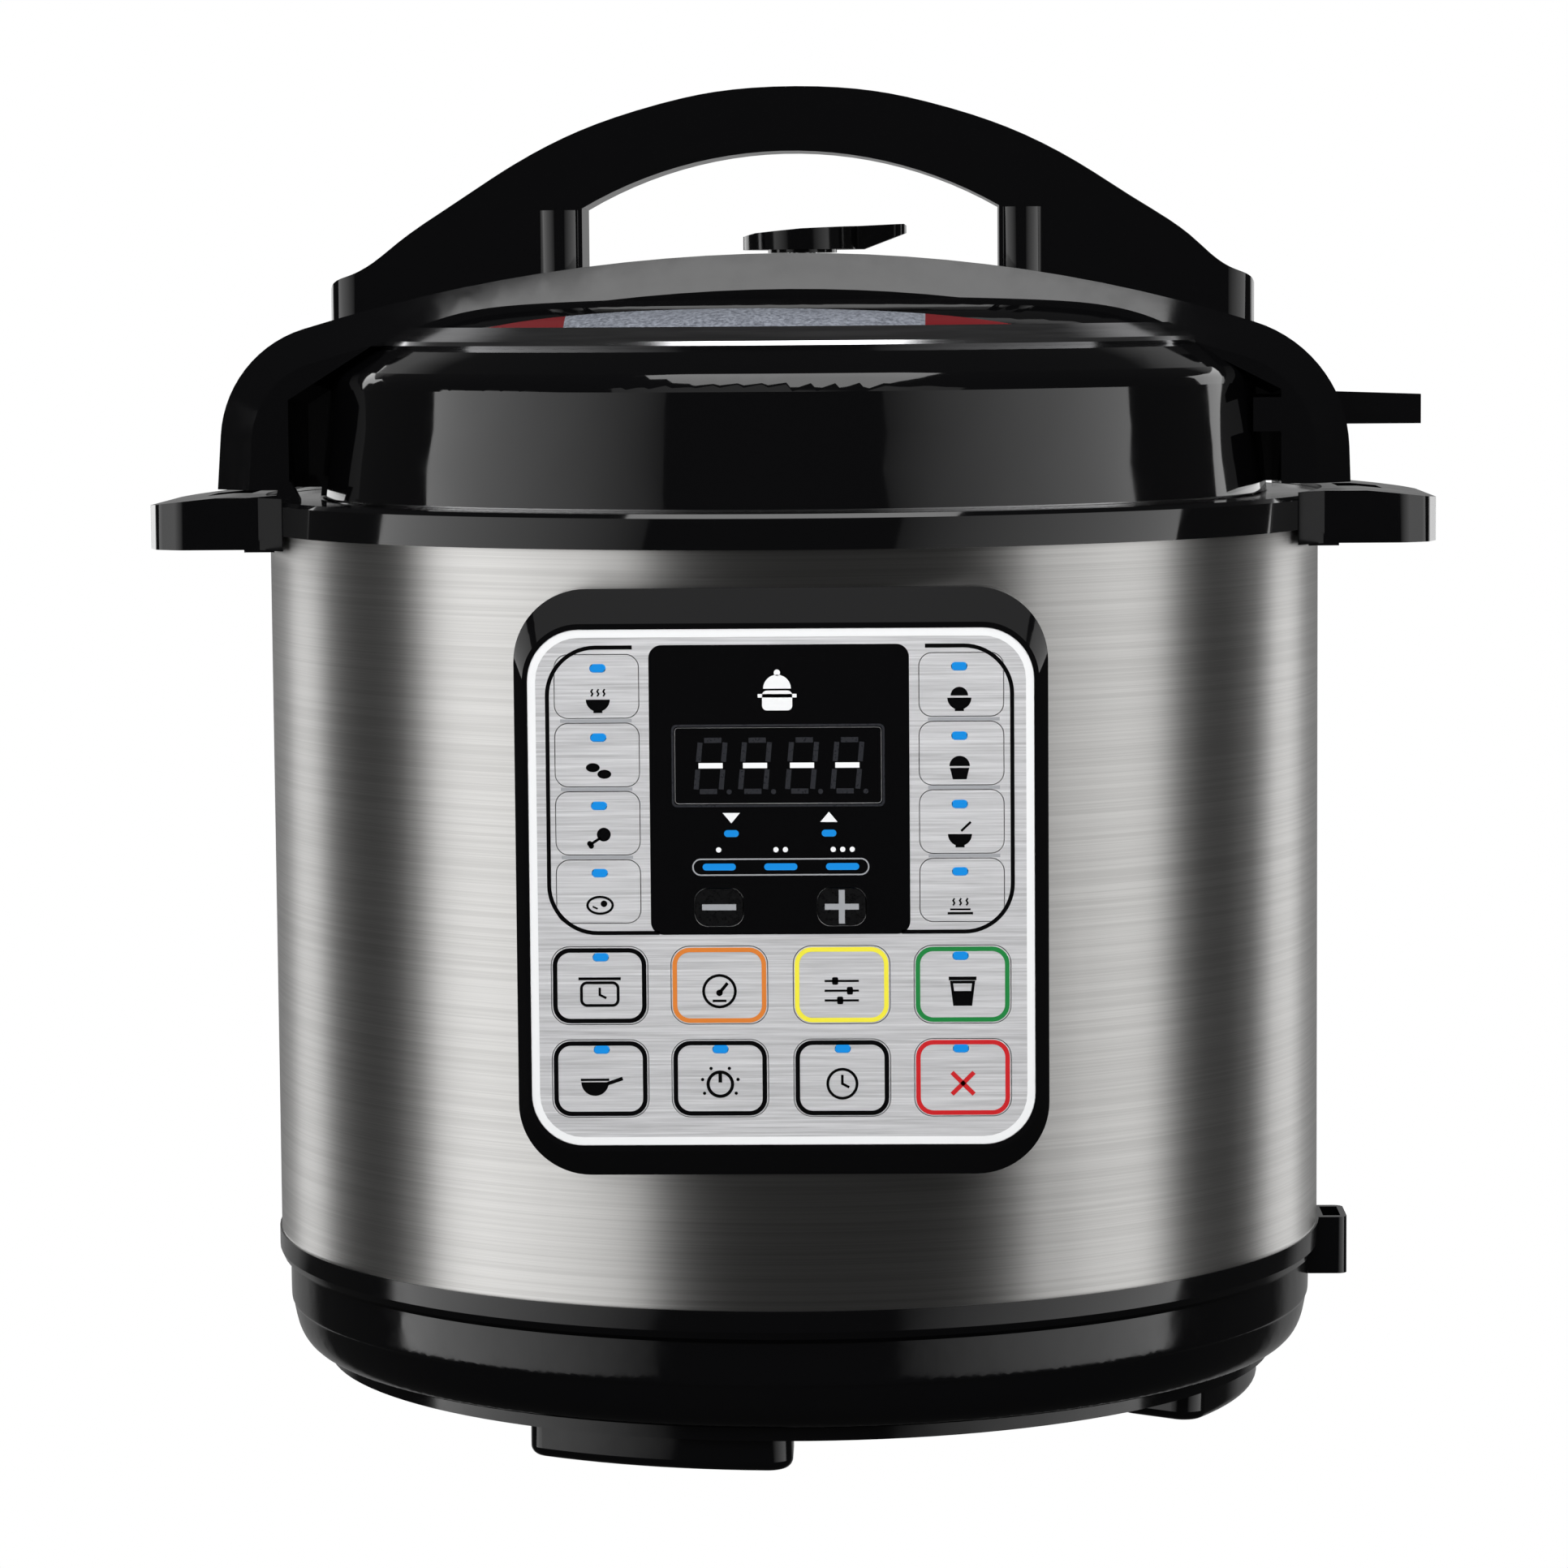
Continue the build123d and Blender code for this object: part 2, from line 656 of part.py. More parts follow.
def make_inner_pot():
    r = INNER_R
    low = PLATE_TOP + SNUG
    rim = RIM_Z + 0.2
    edges = [
        line((0, low), (r - 10, low)),
        arc((r - 10, low), (r - 2.93, low + 2.93), (r, low + 10)),
        line((r, low + 10), (r, rim)),
        line((r, rim), (r + 4.8, rim)),
        line((r + 4.8, rim), (r + 4.8, rim + 1.5)),
        line((r + 4.8, rim + 1.5), (r - 1.0, rim + 1.5)),
        line((r - 1.0, rim + 1.5), (r - 1.0, low + 10)),
        arc((r - 1.0, low + 10), (r - 3.9, low + 4.5), (r - 10, low + 2.0)),
        line((r - 10, low + 2.0), (0, low + 2.0)),
        line((0, low + 2.0), (0, low)),
    ]
    return lathe(edges)


def make_temperature_sensor():
    top = PLATE_TOP + 0.1
    cap = rod(0, 0, top - 5.0, top, SENSOR_R)
    cap = fillet(cap.edges().sort_by(Axis.Z)[-1], 1.5)
    well = POT_FLOOR - POT_WALL - 11.0
    stem = rod(0, 0, well - 3.0, top - 4.0, 4.2)
    clip = rod(0, 0, well - 3.0, well - 1.6 - SNUG, 6.0)
    return joined([cap, stem, clip])


def make_condensation_cup():
    top = BODY_TOP - 4.4
    low = top - 32.0
    y0 = BODY_R + SNUG
    plan = block(-CUP_HALF, CUP_HALF, 100, CUP_OUT, low, top)
    plan = fillet(plan.edges().filter_by(Axis.Z).sort_by(Axis.Y)[2:], 8.0)
    outer = plan - rod(0, 0, 0, 2 * BODY_TOP, y0)
    cavity = block(
        -CUP_HALF + CUP_WALL,
        CUP_HALF - CUP_WALL,
        100,
        CUP_OUT - CUP_WALL,
        low + CUP_WALL,
        top + 5,
    )
    cavity = fillet(cavity.edges().filter_by(Axis.Z).sort_by(Axis.Y)[2:], 6.5)
    cavity = cavity - rod(0, 0, 0, 2 * BODY_TOP, y0 + CUP_WALL)
    half = CUP_HALF + 2.7
    flange = block(-half, half, 100, CUP_OUT - 9, top, top + 1.6)
    flange = flange - rod(0, 0, 0, 2 * BODY_TOP, y0)
    return outer + flange - cavity


# ------------------------------------------------------------------ lid


def dome(drop):
    """Outline of the lid cover's outside, brought in by drop."""
    z = LID_Z
    r = LID_R
    return [
        (r - drop, LID_LOW),
        (r - 2.8 - drop, z + 36.2 - 0.3 * drop),
        (r - 5.2 - drop, z + 40.4 - 0.6 * drop),
        (r - 14.0 - 0.6 * drop, z + 46.3 - drop),
        (r - 20.5 - 0.4 * drop, z + 50.4 - drop),
        (r - 31.0 - 0.3 * drop, z + 54.5 - drop),
        (r - 51.0 - 0.2 * drop, z + 57.2 - drop),
        (r - 86.0, z + 58.6 - drop),
        (0, z + 59.0 - drop),
    ]


def dome_solid(drop, low):
    """The skirt, its rounded top corner, the shoulder and the crown, turned."""
    foot, corner, shoulder, *crown = [Vector(x, z) for x, z in dome(drop)]
    bend = TangentArc(corner, shoulder, tangent=corner - foot)
    slope = TangentArc(shoulder, crown[0], tangent=bend % 1)
    edges = poly_open([(0, low), (foot.X, low), (foot.X, foot.Y), (corner.X, corner.Y)])
    edges += [bend, slope]
    edges.append(Spline(*crown, tangents=[(-1, 0.62), (-1, 0)]))
    edges.append(line((crown[-1].X, crown[-1].Y), (0, low)))
    return lathe(edges)


def poly_open(points):
    return [Line(a, b) for a, b in zip(points, points[1:]) if a != b]


def make_lid_cover():
    shell = dome_solid(0, LID_LOW) - dome_solid(LID_WALL, LID_LOW - 5)
    shell = shell - rod(KNOB_X, KNOB_Y, LID_Z, HANDLE_TOP, PIPE_R + 1.0)
    shell = shell - rod(FLOAT_X, FLOAT_Y, LID_Z, HANDLE_TOP, FLOAT_R + 1.0)
    for x in screw_spots():
        shell = shell - rod(x, 0, LID_Z, HANDLE_TOP, 3.3)
    notch = block(-LID_R - 1, -LID_R + 12, -32, -14, LID_LOW - 1, LID_LOW + 5.5)
    return shell - notch


def screw_spots():
    return (-0.62 * HANDLE_END, 0.62 * HANDLE_END)


def band_face(inset, y):
    """Outline of the band at depth y, brought in square to itself by inset."""
    top = BAND_TOP - inset
    corners = []
    shoulders = []
    wings = ((-1, REACH_L, 4.0, BAND_R[0]), (1, REACH_R, 2.0, BAND_R[1]))
    for side, reach, lean, curve in wings:
        centre = BAND_TOP - curve
        radius = curve - inset
        tilt = math.tan(math.radians(lean))
        x = reach - inset / math.cos(math.radians(lean))
        z = LID_Z + 11.0
        for _ in range(20):
            z = centre + math.sqrt(radius**2 - (x - (z - LID_Z - 11.0) * tilt) ** 2)
        low = x + (LID_Z + 11.0) * tilt - (LID_Z - 10.0) * tilt
        corners.append((side * low, LID_Z - 10.0))
        corners.append((side * (x - (z - LID_Z - 11.0) * tilt), z))
        mid = 0.5 * x
        shoulders.append((side * mid, centre + math.sqrt(radius**2 - mid**2)))
    left_low, left_top, right_low, right_top = corners
    edges = [
        line(left_low, left_top),
        arc(left_top, shoulders[0], (0, top)),
        arc((0, top), shoulders[1], right_top),
        line(right_top, right_low),
        line(right_low, left_low),
    ]
    flat = make_face(Curve() + edges)
    bends = flat.vertices().sort_by(Axis.X)
    left = [v for v in bends[:2] if v.Y > LID_Z + 10.0]
    flat = fillet(left, BAND_BEND[0] - inset)
    bends = flat.vertices().sort_by(Axis.X)
    right = [v for v in bends[-2:] if v.Y > LID_Z + 10.0]
    flat = fillet(right, BAND_BEND[1] - inset)
    return Pos(0, y, 0) * (Plane.XZ * flat)


def bridge_solid(inset, half, bevel):
    """Band over the lid with its long edges bevelled."""
    flat = half - bevel
    core = extrude(band_face(inset, flat), amount=2 * flat, dir=(0, -1, 0))
    front = loft([band_face(inset, -flat), band_face(inset + bevel, -half)], ruled=True)
    rear = loft([band_face(inset, flat), band_face(inset + bevel, half)], ruled=True)
    band = joined([core, front, rear])
    return band & block(-200, 200, -99, 99, LID_Z + 11.0 + inset, HANDLE_TOP)


def arch_under(grow):
    """Space between a wing's inner side and the lid's skirt, front and rear."""
    z = LID_Z
    spaces = []
    near = [
        (-REACH_L + 21.5 + grow, z + 4.0),
        (-REACH_L + 21.5 + grow, z + 32.0 - grow),
        (-LID_R + 15.0, z + 43.0 - grow),
        (0, z + 45.0 - grow),
        (LID_R - 21.0, z + 43.0 - grow),
        (REACH_R - 18.9 - grow, z + 33.0 - grow),
        (REACH_R - 18.9 - grow, z + 4.0),
    ]
    far = [
        (-REACH_L + 19.1 + grow, z + 4.0),
        (-REACH_L + 19.1 + grow, z + 33.6 - grow),
        (-LID_R + 16.5, z + 47.0 - grow),
        (0, z + 48.0 - grow),
        (LID_R - 22.5, z + 47.0 - grow),
        (REACH_R - 18.0 - grow, z + 34.6 - grow),
        (REACH_R - 18.0 - grow, z + 4.0),
    ]
    for side in (-1, 1):
        inner = Pos(0, side * (12 + grow), 0) * (Plane.XZ * make_face(Curve() + poly(near)))
        outer = Pos(0, side * 36, 0) * (Plane.XZ * make_face(Curve() + poly(far)))
        spaces.append(loft([inner, outer], ruled=True))
    return spaces


def make_lid_bridge():
    solid = bridge_solid(0, BRIDGE_HALF, 9.0)
    hollow = bridge_solid(WALL, BRIDGE_HALF - WALL, 8.4)
    for space in arch_under(-WALL):
        hollow = hollow - space
    band = solid - hollow - dome_solid(0, LID_LOW - 20)
    for space in arch_under(0.0):
        band = band - space
    band = band - rod(KNOB_X, KNOB_Y, LID_Z, HANDLE_TOP, PIPE_R + 1.0)
    band = band - rod(FLOAT_X, FLOAT_Y, LID_Z, HANDLE_TOP, FLOAT_R + 0.1)
    for x in screw_spots():
        band = band - rod(x, 0, LID_Z, HANDLE_TOP, 1.5)
    for screw in wing_screws():
        band = band - screw
    half = BRIDGE_HALF
    inner = REACH_R - 19.6
    tab = block(inner - 5.4, inner + 3.4, -half, -half + 3.0, LID_Z + 24, LID_Z + 32.5)
    return joined([band, lid_tongue(), tab])


def lid_tongue():
    """Fin on the right wing that stands the lid in the handle's slot."""
    x = REACH_R
    z = LID_Z
    corners = [
        (x - 9.0, z + 24.8),
        (x + 20.4, z + 24.8),
        (x + 20.4, z + 32.3),
        (x - 9.0, z + 33.4),
    ]
    fin = side_profile(poly(corners), 4.0, 8.0)
    plate = block(x - 1.6, x + 1.4, 4.0, 8.0, z + 17.0, z + 26.0)
    return (fin + plate) - bridge_solid(WALL, BRIDGE_HALF - WALL, 8.4)


def make_lid_trim():
    """Polished steel crescents, one in front of the band and one behind."""
    r = LID_R
    z = LID_Z
    points = [
        (r - 14.0, z + 46.1),
        (r - 13.4, z + 47.0),
        (r - 14.4, z + 48.0),
        (r - 20.0, z + 51.4),
        (r - 20.8, z + 51.3),
        (r - 20.8, z + 49.4),
    ]
    band = lathe(poly(points)) - dome_solid(0, LID_LOW)
    half = BRIDGE_HALF + 0.2
    front = band & block(-BODY_R, BODY_R, -BODY_R, -half, 0, HANDLE_TOP)
    rear = band & block(-BODY_R, BODY_R, half, BODY_R, 0, HANDLE_TOP)
    return Compound(children=[front, rear])


def make_lid_label():
    """Thin sticker, lens shaped, on the slope in front of the band."""
    mid = -6.75
    outer_r = LID_R - 21.5
    curve = 197.0
    depth = curve - (outer_r * math.cos(math.radians(40.75)) + 11.0)
    skin = dome_solid(-0.25, LID_LOW) - dome_solid(0, LID_LOW - 5)
    disc = rod(0, 0, LID_Z + 40, HANDLE_TOP, outer_r)
    bite = Rot(0, 0, mid) * rod(0, depth, LID_Z + 30, HANDLE_TOP + 10, curve)
    front = Rot(0, 0, mid) * block(-99, 99, -BODY_R, -40, LID_Z + 40, HANDLE_TOP)
    return (skin & disc & front) - bite


def make_carry_handle():
    """Arched grip standing on the band."""
    z = LID_Z
    e = HANDLE_END
    s = HANDLE_END / 117.0
    skew = 0.9  # the crest sits a little to the right of the axis
    rise = [
        (-100 * s, z + 72.8),
        (-86 * s, z + 82.3),
        (-72 * s, z + 91.3),
        (-54 * s, z + 100.5),
        (-36 * s, z + 106.5),
        (-22.5 * s, z + 109.6),
        (0, z + 111.3),
    ]
    left = [(-e, z + 61.0), (-e + 5.2, z + 64.5)] + [(x + skew, h) for x, h in rise]
    right = [(-x + skew, h) for x, h in reversed(rise[:-1])]
    right += [(e - 5.2, z + 64.5), (e, z + 61.0)]
    path = [Vector(*p) for p in left + right]
    edges = [
        Spline(*path, tangents=[(0.25, 1), (0.25, -1)]),
        line((e, z + 61.0), (e, z + 45.0)),
        line((e, z + 45.0), (-e, z + 45.0)),
        line((-e, z + 45.0), (-e, z + 61.0)),
    ]
    solid = side_profile(edges, -HANDLE_HALF, HANDLE_HALF)
    solid = fillet(solid.edges().filter_by(Axis.Z), 8.0)
    w = 52.5 * s
    gap = [
        line((-w, z + 40.0), (-w, z + 81.0)),
        arc((-w, z + 81.0), (0, z + 95.1), (w, z + 81.0)),
        line((w, z + 81.0), (w, z + 40.0)),
        line((w, z + 40.0), (-w, z + 40.0)),
    ]
    for x in (-w - 5.8, w + 5.8):
        for y in (-HANDLE_HALF + 3.3, HANDLE_HALF - 3.3):
            solid = solid + rod(x, y, z + 45.0, z + 80.6, 5.8)
    solid = solid - side_profile(gap, -HANDLE_HALF - 5, HANDLE_HALF + 5)
    solid = solid - bridge_solid(0, BRIDGE_HALF, 9.0)
    for x in screw_spots():
        solid = solid - rod(x, 0, LID_Z, bridge_height(x) + 10.0, 1.5)
    return solid


def bridge_height(x):
    """Height of the band's top above the floor at x, near enough for screws."""
    return LID_Z + 69.3 - 16.0 * (x / HANDLE_END) ** 2


def make_lid_screws():
    """Dome-head screws: two up into the handle's legs and one in each wing."""
    screws = []
    for x in screw_spots():
        top = bridge_height(x)
        screws.append(rod(x, 0, top - 7.5, top + 8.0, 1.5) + rod(x, 0, top - 7.5, top - 5.5, 3.0))
    return screws + wing_screws()


def wing_screws():
    screws = []
    for x in (-REACH_L + 0.4, REACH_R - 0.4):
        screws.append(Pos(x, 12, LID_Z + 17.8) * Rot(0, 90, 0) * Cylinder(1.6, 2.4))
    return screws


def make_lid_plate():
    """Pressed steel lid with the locking lugs round its edge."""
    z = LID_Z
    r = LID_R - 3.9
    edges = poly(
        [
            (0, z + 26.0),
            (r - 9.0, z + 26.0),
            (r - 3.0, z + 23.6),
            (r - 1.2, z + 19.0),
            (r - 1.2, z + 6.6),
            (r, z + 6.6),
            (r, z + 19.5),
            (r - 2.2, z + 24.9),
            (r - 8.6, z + 27.3),
            (0, z + 27.3),
        ]
    )
    plate = lathe(edges)
    step = 360.0 / LUG_COUNT
    lug = sector(POT_R + 5.6, r - 0.6, z + 6.6, z + 9.6, 90.0 + step / 2, LUG_ARC)
    plate = joined([plate] + around(LUG_COUNT, lug, step))
    plate = plate - rod(KNOB_X, KNOB_Y, z + 20, z + 30, PIPE_R)
    return plate - rod(FLOAT_X, FLOAT_Y, z + 20, z + 30, FLOAT_R + 0.1)


def make_exhaust_pipe():
    z = LID_Z
    stem = rod(KNOB_X, KNOB_Y, z + 22.0, z + 72.0, PIPE_R)
    nut = rod(KNOB_X, KNOB_Y, z + 27.3, z + 31.0, 8.0)
    return stem + nut - rod(KNOB_X, KNOB_Y, z + 20.0, z + 74.0, 1.6)


def make_anti_block_shield():
    z = LID_Z
    cap = rod(KNOB_X, KNOB_Y, z + 17.5, z + 26.0, 12.0)
    cap = cap - rod(KNOB_X, KNOB_Y, z + 18.7, z + 24.8, 11.0)
    cap = cap - rod(KNOB_X, KNOB_Y, z + 20.0, z + 27.0, PIPE_R)
    slots = []
    for i in range(6):
        slot = block(9, 13, -1.5, 1.5, z + 20.0, z + 24.0)
        slots.append(Pos(KNOB_X, KNOB_Y, 0) * Rot(0, 0, 30 + 60 * i) * slot)
    for slot in slots:
        cap = cap - slot
    return cap


def make_steam_knob():
    """Release knob: round cap on a hub, with a lever tail to the right."""
    z = LID_Z
    hub = rod(KNOB_X, KNOB_Y, z + 69.8, z + 73.2, 9.0)
    tail = block(KNOB_X, KNOB_X + 27.2, KNOB_Y - 5, KNOB_Y + 5, z + 70.6, z + 79)
    tail = fillet(tail.edges().filter_by(Axis.Z).sort_by(Axis.X)[2:], 4.0)
    paddle = rod(KNOB_X, KNOB_Y, z + 70.6, z + 79, 15.5) + tail
    side = [
        (KNOB_X - 16.0, z + 70.0),
        (KNOB_X - 16.0, z + 73.9),
        (KNOB_X - 12.0, z + 74.9),
        (KNOB_X, z + 76.0),
        (KNOB_X + 26.6, z + 77.1),
        (KNOB_X + 27.6, z + 76.4),
        (KNOB_X + 27.4, z + 74.8),
        (KNOB_X + 16.2, z + 70.6),
        (KNOB_X + 16.2, z + 70.0),
    ]
    knob = joined([hub, paddle & side_profile(poly(side), KNOB_Y - 20, KNOB_Y + 20)])
    return knob - rod(KNOB_X, KNOB_Y, z + 60.0, z + 72.2, PIPE_R + RUN)


def make_float_valve():
    z = LID_Z
    pin = rod(FLOAT_X, FLOAT_Y, z + 20.0, z + 67.6, FLOAT_R)
    collar = rod(FLOAT_X, FLOAT_Y, z + 18.6, z + 20.6, FLOAT_R + 2.0)
    return pin + collar


def make_lock_slider():
    """Bar that the raised float valve holds, so that the lid can't turn."""
    z = LID_Z
    bar = block(-22.0, 76.0, -6.0, 6.0, z + 27.6, z + 30.2)
    hook = block(68.0, 76.0, -6.0, 6.0, z + 30.0, z + 36.0)
    return bar + hook


def make_sealing_ring():
    z = LID_Z
    rim = RIM_Z + 1.7
    r = INNER_R
    edges = poly(
        [
            (r - 2.0, rim + SNUG),
            (r + 6.0, rim + SNUG),
            (r + 6.6, rim + 3.0),
            (r + 6.6, z + 24.0),
            (r + 2.4, z + 24.0),
            (r + 2.4, rim + 3.4),
            (r - 2.0, rim + 2.4),
        ]
    )
    return lathe(edges)


def make_ring_rack():
    z = LID_Z
    return tube(INNER_R + 2.4, INNER_R + 0.2, z + 20.2, z + 22.4)


def piece(name, shape):
    """Move a finished shape into the shared frame and write it."""
    if isinstance(shape, (list, ShapeList)):
        shape = Compound(children=list(shape))
    export_step(Pos(0, FRAME_Y, 0) * shape, "parts/" + name + ".step")


piece("outer_sleeve", make_outer_sleeve())
piece("upper_collar", make_upper_collar())
piece("side_handle_left", make_side_handle(-1))
piece("side_handle_right", make_side_handle(1))
piece("handle_covers", make_handle_covers())
piece("base_ring", make_base_ring())
piece("base_shell", make_base_shell())
piece("feet", make_feet())
piece("outer_pot", make_outer_pot())
piece("heating_plate", make_heating_plate())
piece("sensor_spring", make_sensor_spring())
piece("pressure_switch", make_pressure_switch())
piece("control_bezel", make_control_bezel())
piece("panel_overlay", make_panel_overlay())
piece("display_window", make_display_window())
piece("display_module", make_display_module())
piece("control_board", make_control_board())
piece("key_switches", make_key_switches())
piece("light_pipes", make_light_pipes())
piece("power_board", make_power_board())
piece("power_inlet", make_power_inlet())
piece("inlet_pins", make_inlet_pins())
piece("base_screws", make_base_screws())
piece("ladle_holder", make_ladle_holder())
piece("inner_pot", make_inner_pot())
piece("temperature_sensor", make_temperature_sensor())
piece("condensation_cup", make_condensation_cup())
piece("lid_plate", make_lid_plate())
piece("lid_cover", make_lid_cover())
piece("lid_bridge", make_lid_bridge())
piece("lid_trim", make_lid_trim())
piece("lid_label", make_lid_label())
piece("carry_handle", make_carry_handle())
piece("lid_screws", make_lid_screws())
piece("exhaust_pipe", make_exhaust_pipe())
piece("anti_block_shield", make_anti_block_shield())
piece("steam_knob", make_steam_knob())
piece("float_valve", make_float_valve())
piece("lock_slider", make_lock_slider())
piece("sealing_ring", make_sealing_ring())
piece("ring_rack", make_ring_rack())
for key in KEYS:
    piece(key[0], make_key(key))
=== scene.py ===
"""Looks of an electric pressure cooker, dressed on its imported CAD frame."""

from __future__ import annotations

import json
import logging
import math
from collections.abc import Iterable, Sequence
from dataclasses import dataclass, field
from enum import Enum

import bmesh
import bpy
from mathutils import Matrix, Vector
from mathutils.geometry import tessellate_polygon

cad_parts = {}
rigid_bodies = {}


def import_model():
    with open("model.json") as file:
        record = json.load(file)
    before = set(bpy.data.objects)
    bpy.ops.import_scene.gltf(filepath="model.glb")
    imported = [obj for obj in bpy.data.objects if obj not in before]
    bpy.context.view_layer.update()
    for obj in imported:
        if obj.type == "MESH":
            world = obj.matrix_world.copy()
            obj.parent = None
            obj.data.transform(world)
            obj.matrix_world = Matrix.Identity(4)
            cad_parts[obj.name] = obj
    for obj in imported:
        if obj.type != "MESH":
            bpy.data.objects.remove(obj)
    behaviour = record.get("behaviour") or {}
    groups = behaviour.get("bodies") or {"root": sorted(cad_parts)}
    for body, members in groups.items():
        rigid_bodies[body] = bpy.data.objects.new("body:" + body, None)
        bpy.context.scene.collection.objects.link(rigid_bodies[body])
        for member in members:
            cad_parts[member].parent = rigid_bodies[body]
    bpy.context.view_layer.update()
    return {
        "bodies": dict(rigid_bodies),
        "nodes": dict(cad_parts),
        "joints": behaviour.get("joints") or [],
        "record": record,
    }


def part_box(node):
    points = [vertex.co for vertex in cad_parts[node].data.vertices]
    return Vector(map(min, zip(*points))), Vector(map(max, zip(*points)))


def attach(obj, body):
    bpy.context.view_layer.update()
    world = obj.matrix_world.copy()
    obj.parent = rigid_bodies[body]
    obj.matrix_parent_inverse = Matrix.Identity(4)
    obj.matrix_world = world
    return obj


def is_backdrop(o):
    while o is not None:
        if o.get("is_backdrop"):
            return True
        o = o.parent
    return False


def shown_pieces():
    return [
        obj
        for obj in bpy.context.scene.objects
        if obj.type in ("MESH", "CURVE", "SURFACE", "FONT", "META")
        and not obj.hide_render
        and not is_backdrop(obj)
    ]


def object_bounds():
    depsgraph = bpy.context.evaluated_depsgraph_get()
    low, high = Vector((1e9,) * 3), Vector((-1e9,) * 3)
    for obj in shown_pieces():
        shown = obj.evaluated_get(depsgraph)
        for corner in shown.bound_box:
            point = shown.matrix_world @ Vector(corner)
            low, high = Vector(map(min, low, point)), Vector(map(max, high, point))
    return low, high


LOG = logging.getLogger("cooker")
MM = 0.001
Point = tuple[float, float]
Loop = list[Point]


def linear(hex_colour: str, alpha: float = 1.0) -> tuple[float, float, float, float]:
    """Turns an sRGB hex colour into the linear values that shaders take.

    Args:
        hex_colour: six hex digits, with or without a leading hash.
        alpha: opacity carried along unchanged.

    Returns:
        Linear red, green, blue and alpha.
    """
    digits = hex_colour.lstrip("#")
    parts = [int(digits[i : i + 2], 16) / 255 for i in (0, 2, 4)]
    lit = [p / 12.92 if p <= 0.04045 else ((p + 0.055) / 1.055) ** 2.4 for p in parts]
    return (lit[0], lit[1], lit[2], alpha)


def add_node(
    tree: bpy.types.NodeTree,
    kind: str,
    values: dict | None = None,
    feeds: dict | None = None,
    **settings: object,
) -> bpy.types.Node:
    """Adds one node with its settings, constant inputs and links.

    Args:
        tree: node tree that takes the node.
        kind: node type.
        values: constant input values by socket name or number.
        feeds: sockets of other nodes to link in, by socket name or number.
        **settings: attributes of the node itself.

    Returns:
        The new node.
    """
    node = tree.nodes.new(kind)
    for name, value in settings.items():
        setattr(node, name, value)
    for name, value in (values or {}).items():
        node.inputs[name].default_value = value
    for name, source in (feeds or {}).items():
        tree.links.new(source, node.inputs[name])
    return node


def fresh_material(name: str) -> tuple[bpy.types.Material, bpy.types.NodeTree, bpy.types.Node]:
    """Makes an empty material.

    Args:
        name: name of the finish.

    Returns:
        The material, its tree, and its Principled shader, already on the output.
    """
    material = bpy.data.materials.new(name)
    material.use_nodes = True
    tree = material.node_tree
    tree.nodes.clear()
    shader = add_node(tree, "ShaderNodeBsdfPrincipled")
    add_node(tree, "ShaderNodeOutputMaterial", feeds={"Surface": shader.outputs[0]})
    return material, tree, shader


def stretched_noise(
    tree: bpy.types.NodeTree, period_mm: tuple[float, float, float], detail: float = 3.0
) -> bpy.types.NodeSocket:
    """Noise on object coordinates with its own period along each axis.

    Args:
        tree: material's node tree.
        period_mm: size of one cell along X, Y and Z, in millimetres.
        detail: octaves of finer noise.

    Returns:
        The noise's factor output.
    """
    place = add_node(tree, "ShaderNodeTexCoord")
    scale = tuple(1.0 / (p * MM) for p in period_mm)
    mapping = add_node(
        tree, "ShaderNodeMapping", {"Scale": scale}, {"Vector": place.outputs["Object"]}
    )
    noise = add_node(
        tree,
        "ShaderNodeTexNoise",
        {"Scale": 1.0, "Detail": detail, "Roughness": 0.6},
        {"Vector": mapping.outputs[0]},
    )
    return noise.outputs["Fac"]


def spread(
    tree: bpy.types.NodeTree, source: bpy.types.NodeSocket, low: float, high: float
) -> bpy.types.NodeSocket:
    """Maps the middle of a noise to a range.

    Args:
        tree: material's node tree.
        source: noise from 0 to 1.
        low: value where the noise is dark.
        high: value where the noise is bright.

    Returns:
        The mapped value's output.
    """
    node = add_node(
        tree,
        "ShaderNodeMapRange",
        {"From Min": 0.3, "From Max": 0.7, "To Min": low, "To Max": high},
        {"Value": source},
    )
    return node.outputs[0]


def tinted(
    tree: bpy.types.NodeTree, source: bpy.types.NodeSocket, dark: str, light: str
) -> bpy.types.NodeSocket:
    """Blends between two colours by a noise.

    Args:
        tree: material's node tree.
        source: noise from 0 to 1.
        dark: sRGB hex colour where the noise is dark.
        light: sRGB hex colour where the noise is bright.

    Returns:
        The colour's output.
    """
    ramp = add_node(tree, "ShaderNodeValToRGB", feeds={"Fac": source})
    ramp.color_ramp.elements[0].position = 0.3
    ramp.color_ramp.elements[0].color = linear(dark)
    ramp.color_ramp.elements[1].position = 0.7
    ramp.color_ramp.elements[1].color = linear(light)
    return ramp.outputs["Color"]


def relief(
    tree: bpy.types.NodeTree,
    shader: bpy.types.Node,
    source: bpy.types.NodeSocket,
    depth_mm: float,
    strength: float = 1.0,
) -> None:
    """Feeds a noise to a shader's normal as a bump.

    Args:
        tree: material's node tree.
        shader: shader that takes the normal.
        source: height from 0 to 1.
        depth_mm: height of the relief in millimetres.
        strength: how much of it shows.
    """
    bump = add_node(
        tree,
        "ShaderNodeBump",
        {"Strength": strength, "Distance": depth_mm * MM},
        {"Height": source},
    )
    tree.links.new(bump.outputs[0], shader.inputs["Normal"])


# ---------------------------------------------------------------- finishes


